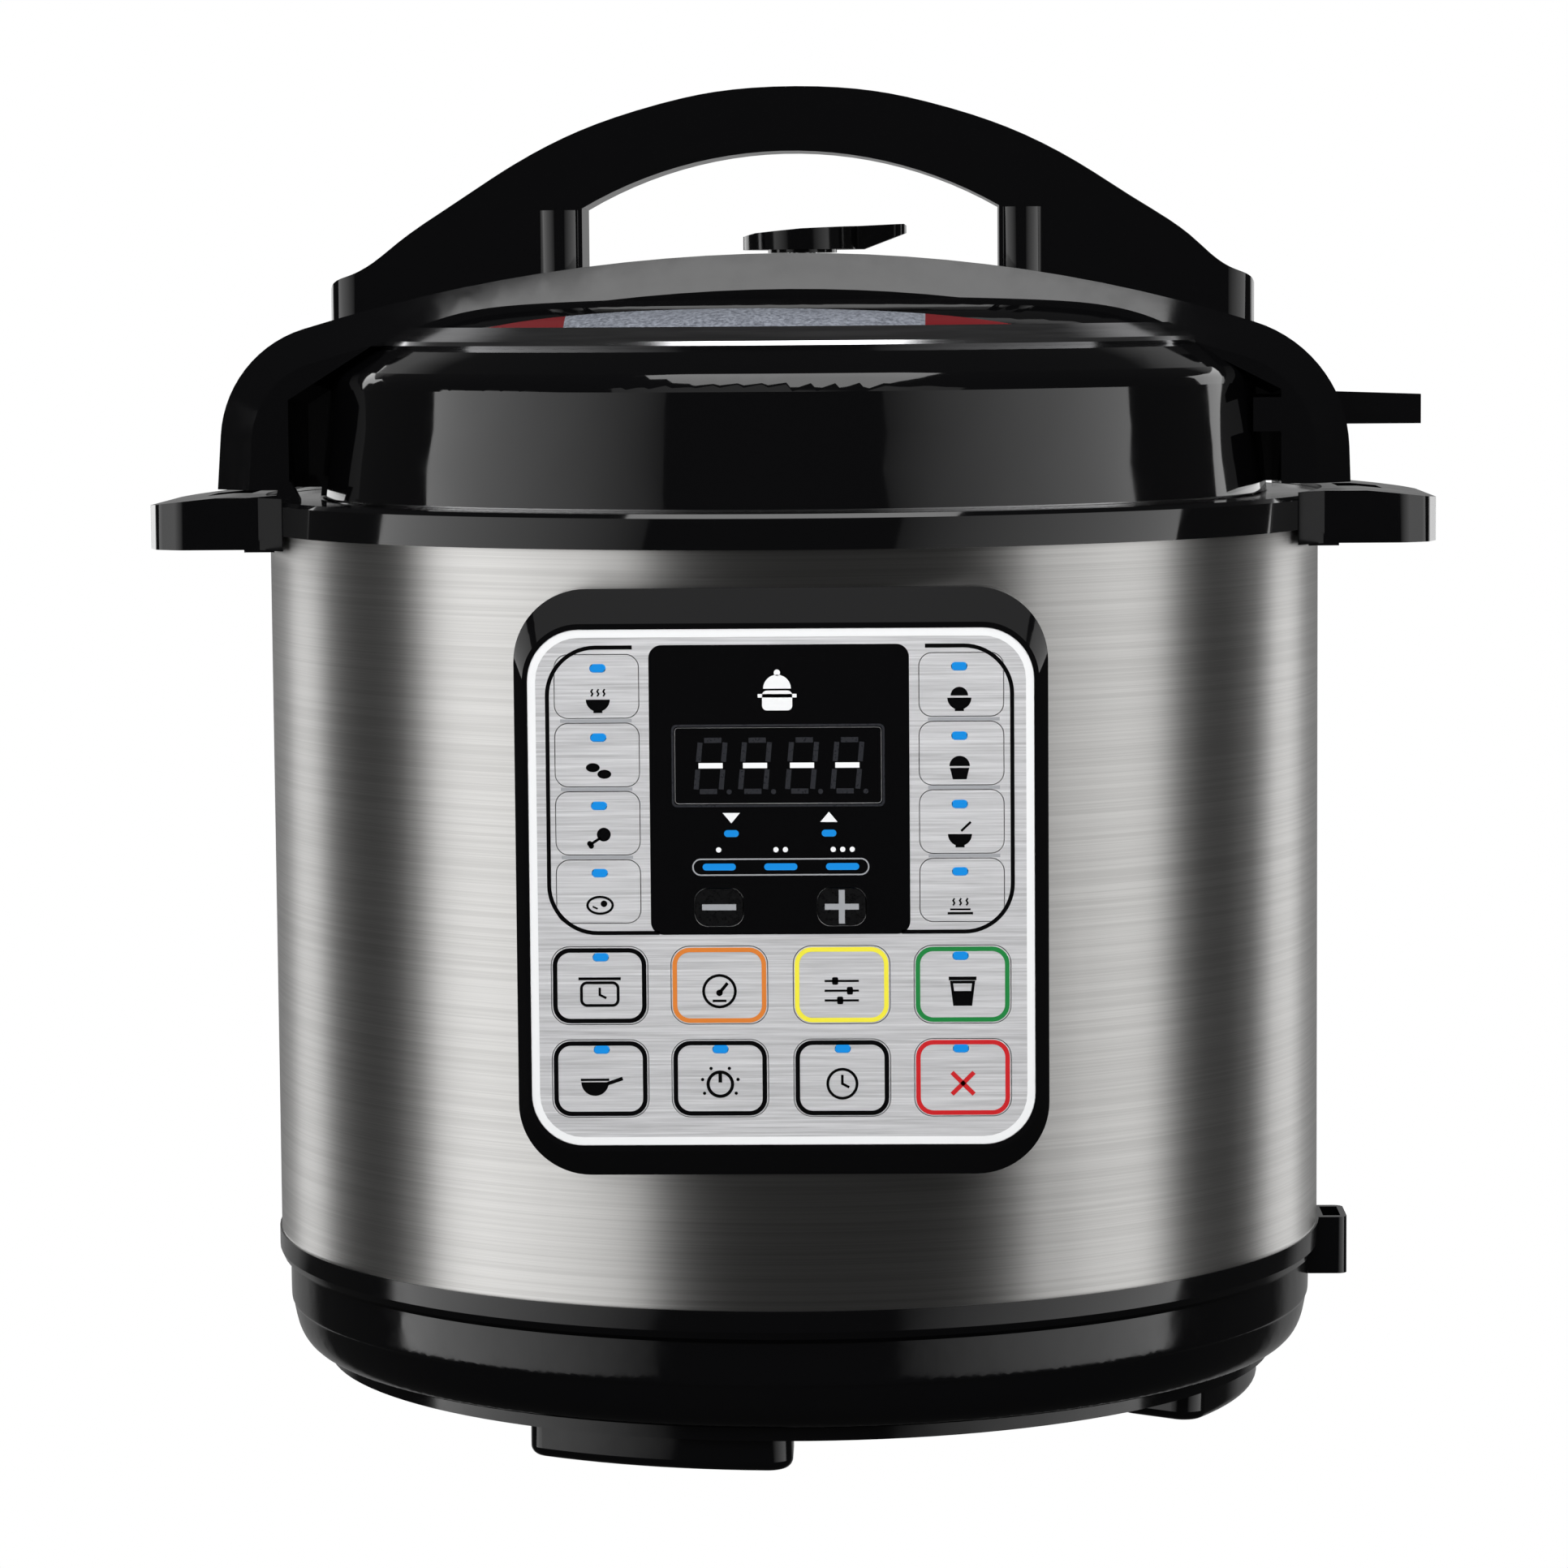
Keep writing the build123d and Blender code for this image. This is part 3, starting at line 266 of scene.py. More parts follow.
@dataclass(frozen=True)
class BrushedStainless:
    """Stainless sheet, belt-brushed round the body: long level scratches.

    The scratches stretch every highlight up and down and leave fine level
    streaks that are lighter and darker by turns.
    """

    name: str = "brushed_stainless"
    dark: str = "C2C1BF"
    light: str = "D0CFCD"
    roughness: float = 0.36
    anisotropy: float = 0.75
    streak_mm: float = 90.0
    scratch_mm: float = 0.3
    depth_mm: float = 0.004
    level: bool = True

    def build(self) -> bpy.types.Material:
        """Builds the material.

        Returns:
            The new material.
        """
        material, tree, shader = fresh_material(self.name)
        fine = (self.streak_mm, self.streak_mm, self.scratch_mm)
        broad = (self.streak_mm * 3, self.streak_mm * 3, self.scratch_mm * 3)
        scratch = stretched_noise(tree, fine, 4.0)
        cloud = stretched_noise(tree, broad, 2.0)
        total = add_node(
            tree, "ShaderNodeMath", feeds={0: scratch, 1: cloud}, operation="ADD"
        )
        both = add_node(
            tree,
            "ShaderNodeMapRange",
            {"From Min": 0.6, "From Max": 1.4},
            {"Value": total.outputs[0]},
        )
        colour = tinted(tree, both.outputs[0], self.dark, self.light)
        tree.links.new(colour, shader.inputs["Base Color"])
        shader.inputs["Metallic"].default_value = 1.0
        rough = spread(tree, scratch, self.roughness - 0.02, self.roughness + 0.02)
        tree.links.new(rough, shader.inputs["Roughness"])
        shader.inputs["Anisotropic"].default_value = self.anisotropy
        shader.inputs["Anisotropic Rotation"].default_value = 0.25
        if self.level:
            tangent = add_node(tree, "ShaderNodeTangent", direction_type="RADIAL", axis="Z")
            tree.links.new(tangent.outputs[0], shader.inputs["Tangent"])
        relief(tree, shader, scratch, self.depth_mm, 0.2)
        return material


@dataclass(frozen=True)
class PolishedAbs:
    """ABS moulded in a mirror-polished tool: deep black, sharp reflections.

    A trace of shrinkage leaves reflections very slightly wavy.
    """

    name: str = "polished_black_abs"
    base: str = "070708"
    roughness: float = 0.05
    ripple_mm: float = 22.0
    depth_mm: float = 0.02
    haze_mm: float = 9.0
    ior: float = 1.54

    def build(self) -> bpy.types.Material:
        """Builds the material.

        Returns:
            The new material.
        """
        material, tree, shader = fresh_material(self.name)
        ripple = stretched_noise(tree, (self.ripple_mm,) * 3, 1.0)
        haze = stretched_noise(tree, (self.haze_mm,) * 3, 3.0)
        shader.inputs["Base Color"].default_value = linear(self.base)
        shader.inputs["IOR"].default_value = self.ior
        rough = spread(tree, haze, self.roughness * 0.8, self.roughness * 1.5)
        tree.links.new(rough, shader.inputs["Roughness"])
        relief(tree, shader, ripple, self.depth_mm, 0.15)
        return material


@dataclass(frozen=True)
class SparkedPlastic:
    """Plastic moulded in a spark-eroded tool: fine matt grain, soft sheen."""

    name: str = "satin_black_plastic"
    dark: str = "0C0C0D"
    light: str = "161617"
    roughness: float = 0.38
    grain_mm: float = 0.5
    depth_mm: float = 0.02
    ior: float = 1.5

    def build(self) -> bpy.types.Material:
        """Builds the material.

        Returns:
            The new material.
        """
        material, tree, shader = fresh_material(self.name)
        grain = stretched_noise(tree, (self.grain_mm,) * 3, 2.0)
        tree.links.new(tinted(tree, grain, self.dark, self.light), shader.inputs["Base Color"])
        shader.inputs["IOR"].default_value = self.ior
        rough = spread(tree, grain, self.roughness - 0.06, self.roughness + 0.08)
        tree.links.new(rough, shader.inputs["Roughness"])
        relief(tree, shader, grain, self.depth_mm, 0.3)
        return material


@dataclass(frozen=True)
class TurnedMetal:
    """Metal turned, drawn or cast: a base colour with fine handling marks."""

    name: str
    dark: str
    light: str
    roughness: float
    grain_mm: tuple[float, float, float]
    depth_mm: float = 0.006

    def build(self) -> bpy.types.Material:
        """Builds the material.

        Returns:
            The new material.
        """
        material, tree, shader = fresh_material(self.name)
        grain = stretched_noise(tree, self.grain_mm, 3.0)
        tree.links.new(tinted(tree, grain, self.dark, self.light), shader.inputs["Base Color"])
        shader.inputs["Metallic"].default_value = 1.0
        rough = spread(tree, grain, self.roughness * 0.8, self.roughness * 1.25)
        tree.links.new(rough, shader.inputs["Roughness"])
        relief(tree, shader, grain, self.depth_mm, 0.4)
        return material


@dataclass(frozen=True)
class BrushedPrint:
    """Polyester sheet printed with a brushed silver ground: level pale streaks.

    The ink is matt under a thin clear coat, so the streaks are drawn colour
    and don't glint as real brushing does.
    """

    name: str = "brushed_silver_print"
    dark: str = "B4B4B6"
    light: str = "E0E0E2"
    streak_mm: float = 26.0
    line_mm: float = 0.5
    through_mm: float = 400.0
    roughness: float = 0.34

    def build(self) -> bpy.types.Material:
        """Builds the material.

        Returns:
            The new material.
        """
        material, tree, shader = fresh_material(self.name)
        streak = stretched_noise(tree, (self.streak_mm, self.through_mm, self.line_mm), 5.0)
        tree.links.new(tinted(tree, streak, self.dark, self.light), shader.inputs["Base Color"])
        shader.inputs["Roughness"].default_value = self.roughness
        shader.inputs["Metallic"].default_value = 0.15
        shader.inputs["Coat Weight"].default_value = 0.25
        shader.inputs["Coat Roughness"].default_value = 0.12
        return material


@dataclass(frozen=True)
class ScreenInk:
    """Screen-printed ink, a few hundredths thick, with the print's fine tooth."""

    name: str
    colour: str
    roughness: float = 0.4
    glow: float = 0.0
    tooth_mm: float = 0.6

    def build(self) -> bpy.types.Material:
        """Builds the material.

        Returns:
            The new material.
        """
        material, tree, shader = fresh_material(self.name)
        tooth = stretched_noise(tree, (self.tooth_mm,) * 3, 2.0)
        shader.inputs["Base Color"].default_value = linear(self.colour)
        rough = spread(tree, tooth, self.roughness - 0.05, self.roughness + 0.05)
        tree.links.new(rough, shader.inputs["Roughness"])
        if self.glow:
            shader.inputs["Base Color"].default_value = linear("050505")
            shader.inputs["Emission Color"].default_value = linear(self.colour)
            shader.inputs["Emission Strength"].default_value = self.glow
        return material


@dataclass(frozen=True)
class ClearMoulding:
    """Clear or smoked moulded plastic, seen through."""

    name: str
    colour: str
    alpha: float
    roughness: float = 0.05
    haze_mm: float = 6.0
    ior: float = 1.58

    def build(self) -> bpy.types.Material:
        """Builds the material.

        Returns:
            The new material.
        """
        material, tree, shader = fresh_material(self.name)
        haze = stretched_noise(tree, (self.haze_mm,) * 3, 2.0)
        shader.inputs["Base Color"].default_value = linear(self.colour)
        shader.inputs["Alpha"].default_value = self.alpha
        shader.inputs["IOR"].default_value = self.ior
        rough = spread(tree, haze, self.roughness, self.roughness * 1.6)
        tree.links.new(rough, shader.inputs["Roughness"])
        return material


@dataclass(frozen=True)
class MouldedSilicone:
    """Translucent silicone, moulded: soft, slightly waxy, a little dusty."""

    name: str = "moulded_silicone"
    dark: str = "C9C6BF"
    light: str = "DEDBD5"
    dust_mm: float = 4.0

    def build(self) -> bpy.types.Material:
        """Builds the material.

        Returns:
            The new material.
        """
        material, tree, shader = fresh_material(self.name)
        dust = stretched_noise(tree, (self.dust_mm,) * 3, 3.0)
        tree.links.new(tinted(tree, dust, self.dark, self.light), shader.inputs["Base Color"])
        shader.inputs["Roughness"].default_value = 0.45
        shader.inputs["Subsurface Weight"].default_value = 0.2
        shader.inputs["Subsurface Radius"].default_value = (0.002, 0.002, 0.002)
        return material


@dataclass(frozen=True)
class LidStickerFoil:
    """Lens-shaped foil sticker: speckled grey middle, dark red ends.

    The split follows the sticker's length, so the ink ends in two clean edges.

    Attributes:
        middle: centre of the grey part along the sticker, in millimetres.
        red_from: distance from that centre where the red starts.
        dark, light: the speckle's two greys.
        red: ink of the ends.
        speck_mm: size of a speck.
    """

    name: str = "lid_sticker_foil"
    middle: float = -9.5
    red_from: float = 43.5
    dark: str = "5E626B"
    light: str = "A6ABB6"
    red: str = "77161C"
    speck_mm: float = 1.0

    def build(self) -> bpy.types.Material:
        """Builds the material.

        Returns:
            The new material.
        """
        material, tree, shader = fresh_material(self.name)
        speck = stretched_noise(tree, (self.speck_mm,) * 3, 2.0)
        grey = tinted(tree, speck, self.dark, self.light)
        place = add_node(tree, "ShaderNodeTexCoord")
        split = add_node(tree, "ShaderNodeSeparateXYZ", feeds={0: place.outputs["Object"]})
        along = add_node(
            tree,
            "ShaderNodeMath",
            {1: self.middle * MM},
            {0: split.outputs["X"]},
            operation="SUBTRACT",
        )
        reach = add_node(
            tree, "ShaderNodeMath", feeds={0: along.outputs[0]}, operation="ABSOLUTE"
        )
        ends = add_node(
            tree,
            "ShaderNodeMath",
            {1: self.red_from * MM},
            {0: reach.outputs[0]},
            operation="GREATER_THAN",
        )
        mix = add_node(tree, "ShaderNodeMix", data_type="RGBA")
        tree.links.new(ends.outputs[0], mix.inputs[0])
        tree.links.new(grey, mix.inputs[6])
        mix.inputs[7].default_value = linear(self.red)
        tree.links.new(mix.outputs[2], shader.inputs["Base Color"])
        shader.inputs["Roughness"].default_value = 0.34
        shader.inputs["Metallic"].default_value = 0.2
        return material


# ---------------------------------------------------------------- mesh tools


def stock() -> dict[str, bpy.types.Material]:
    """Builds every finish once.

    Returns:
        Materials by the name of the finish's use.
    """
    finishes = {
        "sleeve": BrushedStainless(),
        "trim": TurnedMetal("polished_steel_trim", "C9C9CB", "E6E6E8", 0.12, (30, 30, 1.2)),
        "gloss": PolishedAbs(),
        "satin": SparkedPlastic(),
        "handle": PolishedAbs("polished_grip_plastic", "060607", 0.1),
        "key_black": SparkedPlastic("printed_black_keys", "070708", "0D0D0E", 0.3, 0.7),
        "brushed": BrushedPrint(),
        "pot": TurnedMetal("spun_pot_steel", "B9B9BA", "D8D8D9", 0.22, (40, 40, 0.8)),
        "cast": TurnedMetal("cast_aluminium", "8E8F91", "B4B5B7", 0.46, (2.4, 2.4, 2.4), 0.05),
        "spring": TurnedMetal("drawn_spring_steel", "9A9A9C", "C2C2C4", 0.28, (1, 1, 1)),
        "screw": TurnedMetal("turned_screw_steel", "A2A2A4", "D2D2D4", 0.2, (6, 6, 0.4)),
        "brass": TurnedMetal("turned_brass", "B08A3C", "D8B664", 0.22, (5, 5, 0.5)),
        "board": ScreenInk("solder_mask_green", "1C5A38", 0.35),
        "silicone": MouldedSilicone(),
        "cup": ClearMoulding("clear_polycarbonate", "E8EEF0", 0.28, 0.08),
        "window": ClearMoulding("smoked_acrylic", "050506", 1.0, 0.06),
        "foil": LidStickerFoil(),
        "white": ScreenInk("white_ink", "F1F2F3", 0.4),
        "grey": ScreenInk("grey_ink", "9C9EA2", 0.42),
        "dim": ScreenInk("unlit_segment_grey", "26272B", 0.3),
        "black": ScreenInk("black_ink", "060607", 0.16),
        "orange": ScreenInk("orange_ink", "DB7D2B", 0.4),
        "yellow": ScreenInk("yellow_ink", "F4E93C", 0.4),
        "green": ScreenInk("green_ink", "15803B", 0.4),
        "red": ScreenInk("red_ink", "C8161D", 0.4),
        "lit_white": ScreenInk("lit_white_segment", "FBFCFD", 0.4, 1.0),
        "lit_blue": ScreenInk("lit_blue_lamp", "1590E6", 0.4, 0.95),
    }
    return {use: finish.build() for use, finish in finishes.items()}


def new_piece(
    name: str,
    vertices: Sequence[Sequence[float]],
    faces: Sequence[Sequence[int]],
    material: bpy.types.Material,
    body: str,
    smooth: bool = False,
) -> bpy.types.Object:
    """Makes one visual piece that rides on a CAD body.

    Args:
        name: name of the piece.
        vertices: corners in metres, in the row frame.
        faces: faces as lists of corner numbers.
        material: its finish.
        body: CAD body that carries it.
        smooth: whether it's shaded smooth.

    Returns:
        The new object.
    """
    mesh = bpy.data.meshes.new(name)
    mesh.from_pydata([tuple(v) for v in vertices], [], [tuple(f) for f in faces])
    work = bmesh.new()
    work.from_mesh(mesh)
    bmesh.ops.recalc_face_normals(work, faces=work.faces)
    work.to_mesh(mesh)
    work.free()
    for face in mesh.polygons:
        face.use_smooth = smooth
    mesh.materials.append(material)
    thing = bpy.data.objects.new(name, mesh)
    bpy.context.scene.collection.objects.link(thing)
    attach(thing, body)
    return thing


def rounded(width: float, height: float, bend: float, x: float = 0, z: float = 0) -> Loop:
    """Outline of a rounded rectangle, anticlockwise, in millimetres.

    Args:
        width: overall width.
        height: overall height.
        bend: corner radius, cut down where the rectangle is too small for it.
        x: centre.
        z: centre.

    Returns:
        Points of the closed outline.
    """
    bend = min(bend, width / 2 - 1e-4, height / 2 - 1e-4)
    steps = 8
    loop: Loop = []
    corners = ((1, 1, 0), (-1, 1, 90), (-1, -1, 180), (1, -1, 270))
    for sx, sz, start in corners:
        cx, cz = x + sx * (width / 2 - bend), z + sz * (height / 2 - bend)
        for i in range(steps + 1):
            a = math.radians(start + 90 * i / steps)
            loop.append((cx + bend * math.cos(a), cz + bend * math.sin(a)))
    return loop


def disc(r: float, x: float = 0, z: float = 0, r2: float | None = None, n: int = 28) -> Loop:
    """Outline of a circle or, with r2, of an ellipse.

    Args:
        r: radius, or half width of the ellipse.
        x: centre.
        z: centre.
        r2: half height of the ellipse.
        n: how many points.

    Returns:
        Points of the closed outline.
    """
    tall = r if r2 is None else r2
    return [
        (x + r * math.cos(2 * math.pi * i / n), z + tall * math.sin(2 * math.pi * i / n))
        for i in range(n)
    ]


def bow(r: float, start: float, end: float, x: float = 0, z: float = 0, n: int = 14) -> Loop:
    """Points along an arc.

    Args:
        r: radius.
        start: first angle in degrees.
        end: last angle in degrees.
        x: centre.
        z: centre.
        n: how many steps.

    Returns:
        The arc's points, both ends included.
    """
    return [
        (
            x + r * math.cos(math.radians(start + (end - start) * i / n)),
            z + r * math.sin(math.radians(start + (end - start) * i / n)),
        )
        for i in range(n + 1)
    ]


def stroke(path: Loop, width: float, closed: bool = False) -> tuple[list[Point], list[tuple]]:
    """A flat ribbon of one width along a path, with mitred bends.

    Args:
        path: centre line in millimetres.
        width: width of the ribbon.
        closed: whether the path joins up.

    Returns:
        Points and faces of the ribbon.
    """
    count = len(path)
    left: list[Point] = []
    right: list[Point] = []
    for i, (x, z) in enumerate(path):
        before = path[i - 1] if closed or i else path[i]
        after = path[(i + 1) % count] if closed or i + 1 < count else path[i]
        a = Vector((x - before[0], z - before[1]))
        b = Vector((after[0] - x, after[1] - z))
        a = a.normalized() if a.length > 1e-9 else b.normalized()
        b = b.normalized() if b.length > 1e-9 else a
        normal = Vector((-(a.y + b.y), a.x + b.x))
        normal = normal.normalized() if normal.length > 1e-6 else Vector((-a.y, a.x))
        lean = max(0.4, normal.dot(Vector((-a.y, a.x))))
        reach = width / 2 / lean
        left.append((x + normal.x * reach, z + normal.y * reach))
        right.append((x - normal.x * reach, z - normal.y * reach))
    faces = []
    last = count if closed else count - 1
    for i in range(last):
        j = (i + 1) % count
        faces.append((i, j, count + j, count + i))
    return left + right, faces


class Form(Enum):
    """Kinds of shape that a print is made of."""

    FILL = "fill"
    LINE = "line"
    RING = "ring"


@dataclass(frozen=True)
class Mark:
    """One shape of a print: a filled outline, a line or a closed line."""

    form: Form
    path: Loop
    width: float = 0.7
    holes: tuple[Loop, ...] = ()

    def flat(self) -> tuple[list[Point], list[tuple]]:
        """Turns the shape into a flat mesh.

        Returns:
            Points in millimetres, and faces by point number.
        """
        if self.form is Form.LINE:
            return stroke(self.path, self.width)
        if self.form is Form.RING:
            return stroke(self.path, self.width, closed=True)
        loops = [self.path, *self.holes]
        points = [p for loop in loops for p in loop]
        triangles = tessellate_polygon([[Vector((x, z, 0)) for x, z in loop] for loop in loops])
        return points, [tuple(t) for t in triangles]


def fill(path: Loop, *holes: Loop) -> Mark:
    """A filled outline.

    Args:
        path: outline in millimetres.
        holes: outlines left open in it.

    Returns:
        The mark.
    """
    return Mark(Form.FILL, path, holes=holes)


def line(*path: Point, width: float = 0.7) -> Mark:
    """A line through points.

    Args:
        path: points in millimetres.
        width: width of the line.

    Returns:
        The mark.
    """
    return Mark(Form.LINE, list(path), width)


def ring(path: Loop, width: float = 0.7) -> Mark:
    """A closed line.

    Args:
        path: centre line in millimetres.
        width: width of the line.

    Returns:
        The mark.
    """
    return Mark(Form.RING, path, width)


def moved(marks: Iterable[Mark], x: float, z: float, grow: float = 1.0) -> list[Mark]:
    """Marks scaled about their own origin and shifted.

    Args:
        marks: marks to copy.
        x: shift to the right in millimetres.
        z: shift upwards in millimetres.
        grow: scale.

    Returns:
        The new marks.
    """

    def shift(loop: Loop) -> Loop:
        """One outline, scaled and shifted.

        Args:
            loop: outline in millimetres.

        Returns:
            The new outline.
        """
        return [(x + grow * px, z + grow * pz) for px, pz in loop]

    return [
        Mark(m.form, shift(m.path), m.width * grow, tuple(shift(h) for h in m.holes))
        for m in marks
    ]


@dataclass
class Press:
    """Prints flat shapes just proud of a face that looks towards -Y.

    Attributes:
        face_y: the printed face, in metres.
        centre_z: height of the print's origin, in metres.
        inks: materials by name.
    """

    face_y: float
    centre_z: float
    inks: dict[str, bpy.types.Material]

    def lay(
        self,
        name: str,
        marks: Iterable[Mark],
        ink: str,
        body: str = "base",
        slot: str = "overlay_print",
        layer: int = 1,
        pitch: float = 0.03,
    ) -> bpy.types.Object:
        """Prints marks as one thin piece.

        Args:
            name: name of the piece.
            marks: shapes in millimetres from the print's origin.
            ink: name of the ink.
            body: CAD body that carries it.
            slot: the record's material slot; not used.
            layer: how many ink layers lie under it, counting its own.
            pitch: thickness of one layer in millimetres.

        Returns:
            The printed piece.
        """
        vertices: list[tuple[float, float, float]] = []
        faces: list[tuple] = []
        y = self.face_y - layer * pitch * MM
        for mark in marks:
            points, polygons = mark.flat()
            first = len(vertices)
            vertices += [(x * MM, y, self.centre_z + z * MM) for x, z in points]
            faces += [tuple(first + i for i in polygon) for polygon in polygons]
        thing = new_piece(name, vertices, faces, self.inks[ink], body)
        mesh = thing.data
        flip = [p.index for p in mesh.polygons if p.normal.y > 0]
        if flip:
            work = bmesh.new()
            work.from_mesh(mesh)
            work.faces.ensure_lookup_table()
            bmesh.ops.reverse_faces(work, faces=[work.faces[i] for i in flip])
            work.to_mesh(mesh)
            work.free()
        return thing


# ---------------------------------------------------------------- pictograms


def bowl_marks() -> list[Mark]:
    """A bowl on a foot.

    Returns:
        The bowl and its foot.
    """
    return [fill(bow(4.0, 180, 360, 0, 0.2)), line((-1.5, -3.9), (1.5, -3.9))]


def steam_marks(x: float, z: float) -> Mark:
    """One curl of steam.

    Args:
        x: foot of the curl.
        z: foot of the curl.

    Returns:
        The curl.
    """
    return line((x, z), (x + 0.5, z + 0.8), (x, z + 1.6), (x + 0.5, z + 2.4), width=0.55)


def pictograms() -> dict[str, list[Mark]]:
    """Pictograms for the functions, each about 10 mm wide, in millimetres.

    Returns:
        The marks of each pictogram, by function.
    """
    pot_body = rounded(7.6, 5.0, 1.2, 0, -1.4)
    clock = ring(disc(3.6), 0.7)
    return {
        "soup": [*bowl_marks(), *(steam_marks(x, 1.3) for x in (-2.2, -0.2, 1.8))],
        "bean": [fill(disc(2.3, -1.9, 0.9, 1.5)), fill(disc(2.3, 1.9, -1.3, 1.5))],
        "fried": [
            fill(disc(2.3, 1.5, 0.6)),
            line((0.4, -0.5), (-3.0, -2.7), width=0.9),
            fill(disc(0.9, -3.2, -2.4)),
            fill(disc(0.9, -2.7, -3.2)),
        ],
        "meat": [ring(disc(4.2, 0, 0, 2.8), 0.8), fill(disc(1.1, 1.3, 0.5)),
                 line((-2.5, -0.4), (-0.8, -1.2), width=0.6)],
        "rice": [*bowl_marks(), fill(bow(2.9, 0, 180, 0, 0.9))],
        "cake": [
            fill([(-3.2, 0.2), (3.2, 0.2), (2.3, -3.6), (-2.3, -3.6)]),
            fill(bow(3.4, 0, 180, 0, 0.8)),
        ],
        "porridge": [*bowl_marks(), line((0.4, 1.2), (3.6, 4.2), width=0.8)],
        "steam": [
            line((-4.2, -3.2), (4.2, -3.2), width=0.8),
            line((-3.4, -1.9), (3.4, -1.9), width=0.6),
            *(steam_marks(x, -0.6) for x in (-2.4, -0.2, 2.0)),
        ],
        "slow_cook": [
            ring(rounded(9.0, 5.6, 1.4, 0, -0.6), 0.7),
            line((-5.2, 3.2), (5.2, 3.2), width=0.7),
            line((0, 1.0), (0, -0.8), (1.6, -1.6), width=0.6),
        ],
        "pressure": [
            ring(disc(3.9), 0.7),
            line((0, -0.4), (2.0, 2.0), width=0.8),
            fill(disc(0.8, 0, -0.4)),
            line((-1.7, -2.4), (1.7, -2.4), width=0.6),
        ],
        "adjust": [
            *(line((-4.2, z), (4.2, z), width=0.55) for z in (2.4, 0.0, -2.4)),
            fill(rounded(1.5, 1.9, 0.4, -1.6, 2.4)),
            fill(rounded(1.5, 1.9, 0.4, 2.0, 0.0)),
            fill(rounded(1.5, 1.9, 0.4, -0.4, -2.4)),
        ],
        "yogurt": [
            ring([(-2.7, 2.0), (2.7, 2.0), (2.0, -3.5), (-2.0, -3.5)], 0.7),
            line((-3.4, 2.9), (3.4, 2.9), width=0.9),
            fill([(-2.2, -0.2), (2.2, -0.2), (1.7, -3.2), (-1.7, -3.2)]),
        ],
        "saute": [
            fill(bow(3.4, 180, 360, -1.4, 0.6)),
            line((1.6, 0.2), (5.4, 1.5), width=0.9),
            line((-4.9, 1.2), (2.1, 1.2), width=0.6),
        ],
        "manual": [
            ring(disc(3.0), 0.8),
            line((0, 0.4), (0, 2.8), width=0.9),
            *(fill(disc(0.42, 4.5 * math.cos(a), 4.5 * math.sin(a), n=10))
              for a in (math.radians(d) for d in (-30, 15, 60, 120, 165, 210))),
        ],
        "timer": [clock, line((0, 2.2), (0, 0), (1.7, -0.9), width=0.65)],
        "cancel": [
            line((-2.7, -2.7), (2.7, 2.7), width=1.1),
            line((-2.7, 2.7), (2.7, -2.7), width=1.1),
        ],
        "pot": [
            fill(pot_body),
            line((-4.9, -0.2), (4.9, -0.2), width=0.9),
            fill(bow(3.5, 0, 180, 0, 1.6, 12)),
            fill(disc(0.8, 0, 5.6)),
        ],
    }


# ---------------------------------------------------------------- CAD nodes


@dataclass(frozen=True)
class Dress:
    """What one CAD node gets: its finish and edge softening.

    Attributes:
        finish: name of the material.
        slot: the record's material slot; not used.
        edge_mm: width of the softened edges, or 0 for none.
    """

    finish: str
    slot: str
    edge_mm: float = 0.0


NODE_DRESS: dict[str, Dress] = {
    name: dress
    for dress, names in (
        (Dress("sleeve", "sleeve_steel", 0.2), "outer_sleeve"),
        (Dress("gloss", "gloss_black", 0.4), "upper_collar carry_handle"),
        (Dress("handle", "satin_black", 0.6), "side_handle_left side_handle_right"),
        (Dress("handle", "satin_black", 0.4), "handle_covers base_ring base_shell feet"),
        (
            Dress("pot", "pot_steel"),
            "outer_pot inner_pot lid_plate exhaust_pipe anti_block_shield lock_slider "
            "ring_rack",
        ),
        (Dress("cast", "cast_aluminium", 0.3), "heating_plate"),
        (Dress("spring", "spring_steel"), "sensor_spring"),
        (Dress("spring", "spring_steel", 0.2), "pressure_switch"),
        (Dress("gloss", "gloss_black", 0.25), "control_bezel"),
        (Dress("brushed", "overlay_print"), "panel_overlay"),
        (Dress("window", "smoke_window", 0.15), "display_window"),
        (Dress("satin", "satin_black"), "display_module key_switches"),
        (Dress("board", "board_green"), "control_board power_board"),
        (Dress("lit_blue", "lamp_blue"), "light_pipes"),
        (Dress("satin", "satin_black", 0.2), "power_inlet"),
        (Dress("brass", "pin_brass"), "inlet_pins"),
        (Dress("screw", "screw_steel"), "base_screws"),
        (Dress("handle", "satin_black", 0.2), "ladle_holder"),
        (Dress("cast", "cast_aluminium", 0.2), "temperature_sensor"),
        (Dress("cup", "clear_cup", 0.2), "condensation_cup"),
        (Dress("gloss", "gloss_black", 0.3), "lid_cover"),
        (Dress("gloss", "gloss_black", 0.5), "lid_bridge"),
        (Dress("trim", "trim_steel", 0.2), "lid_trim"),
        (Dress("foil", "label_print"), "lid_label"),
        (Dress("screw", "screw_steel", 0.15), "lid_screws"),
        (Dress("handle", "satin_black", 0.3), "steam_knob"),
        (Dress("cast", "cast_aluminium"), "float_valve"),
        (Dress("silicone", "silicone"), "sealing_ring"),
        (Dress("key_black", "key_black"), "key_minus key_plus"),
    )
    for name in names.split()
}


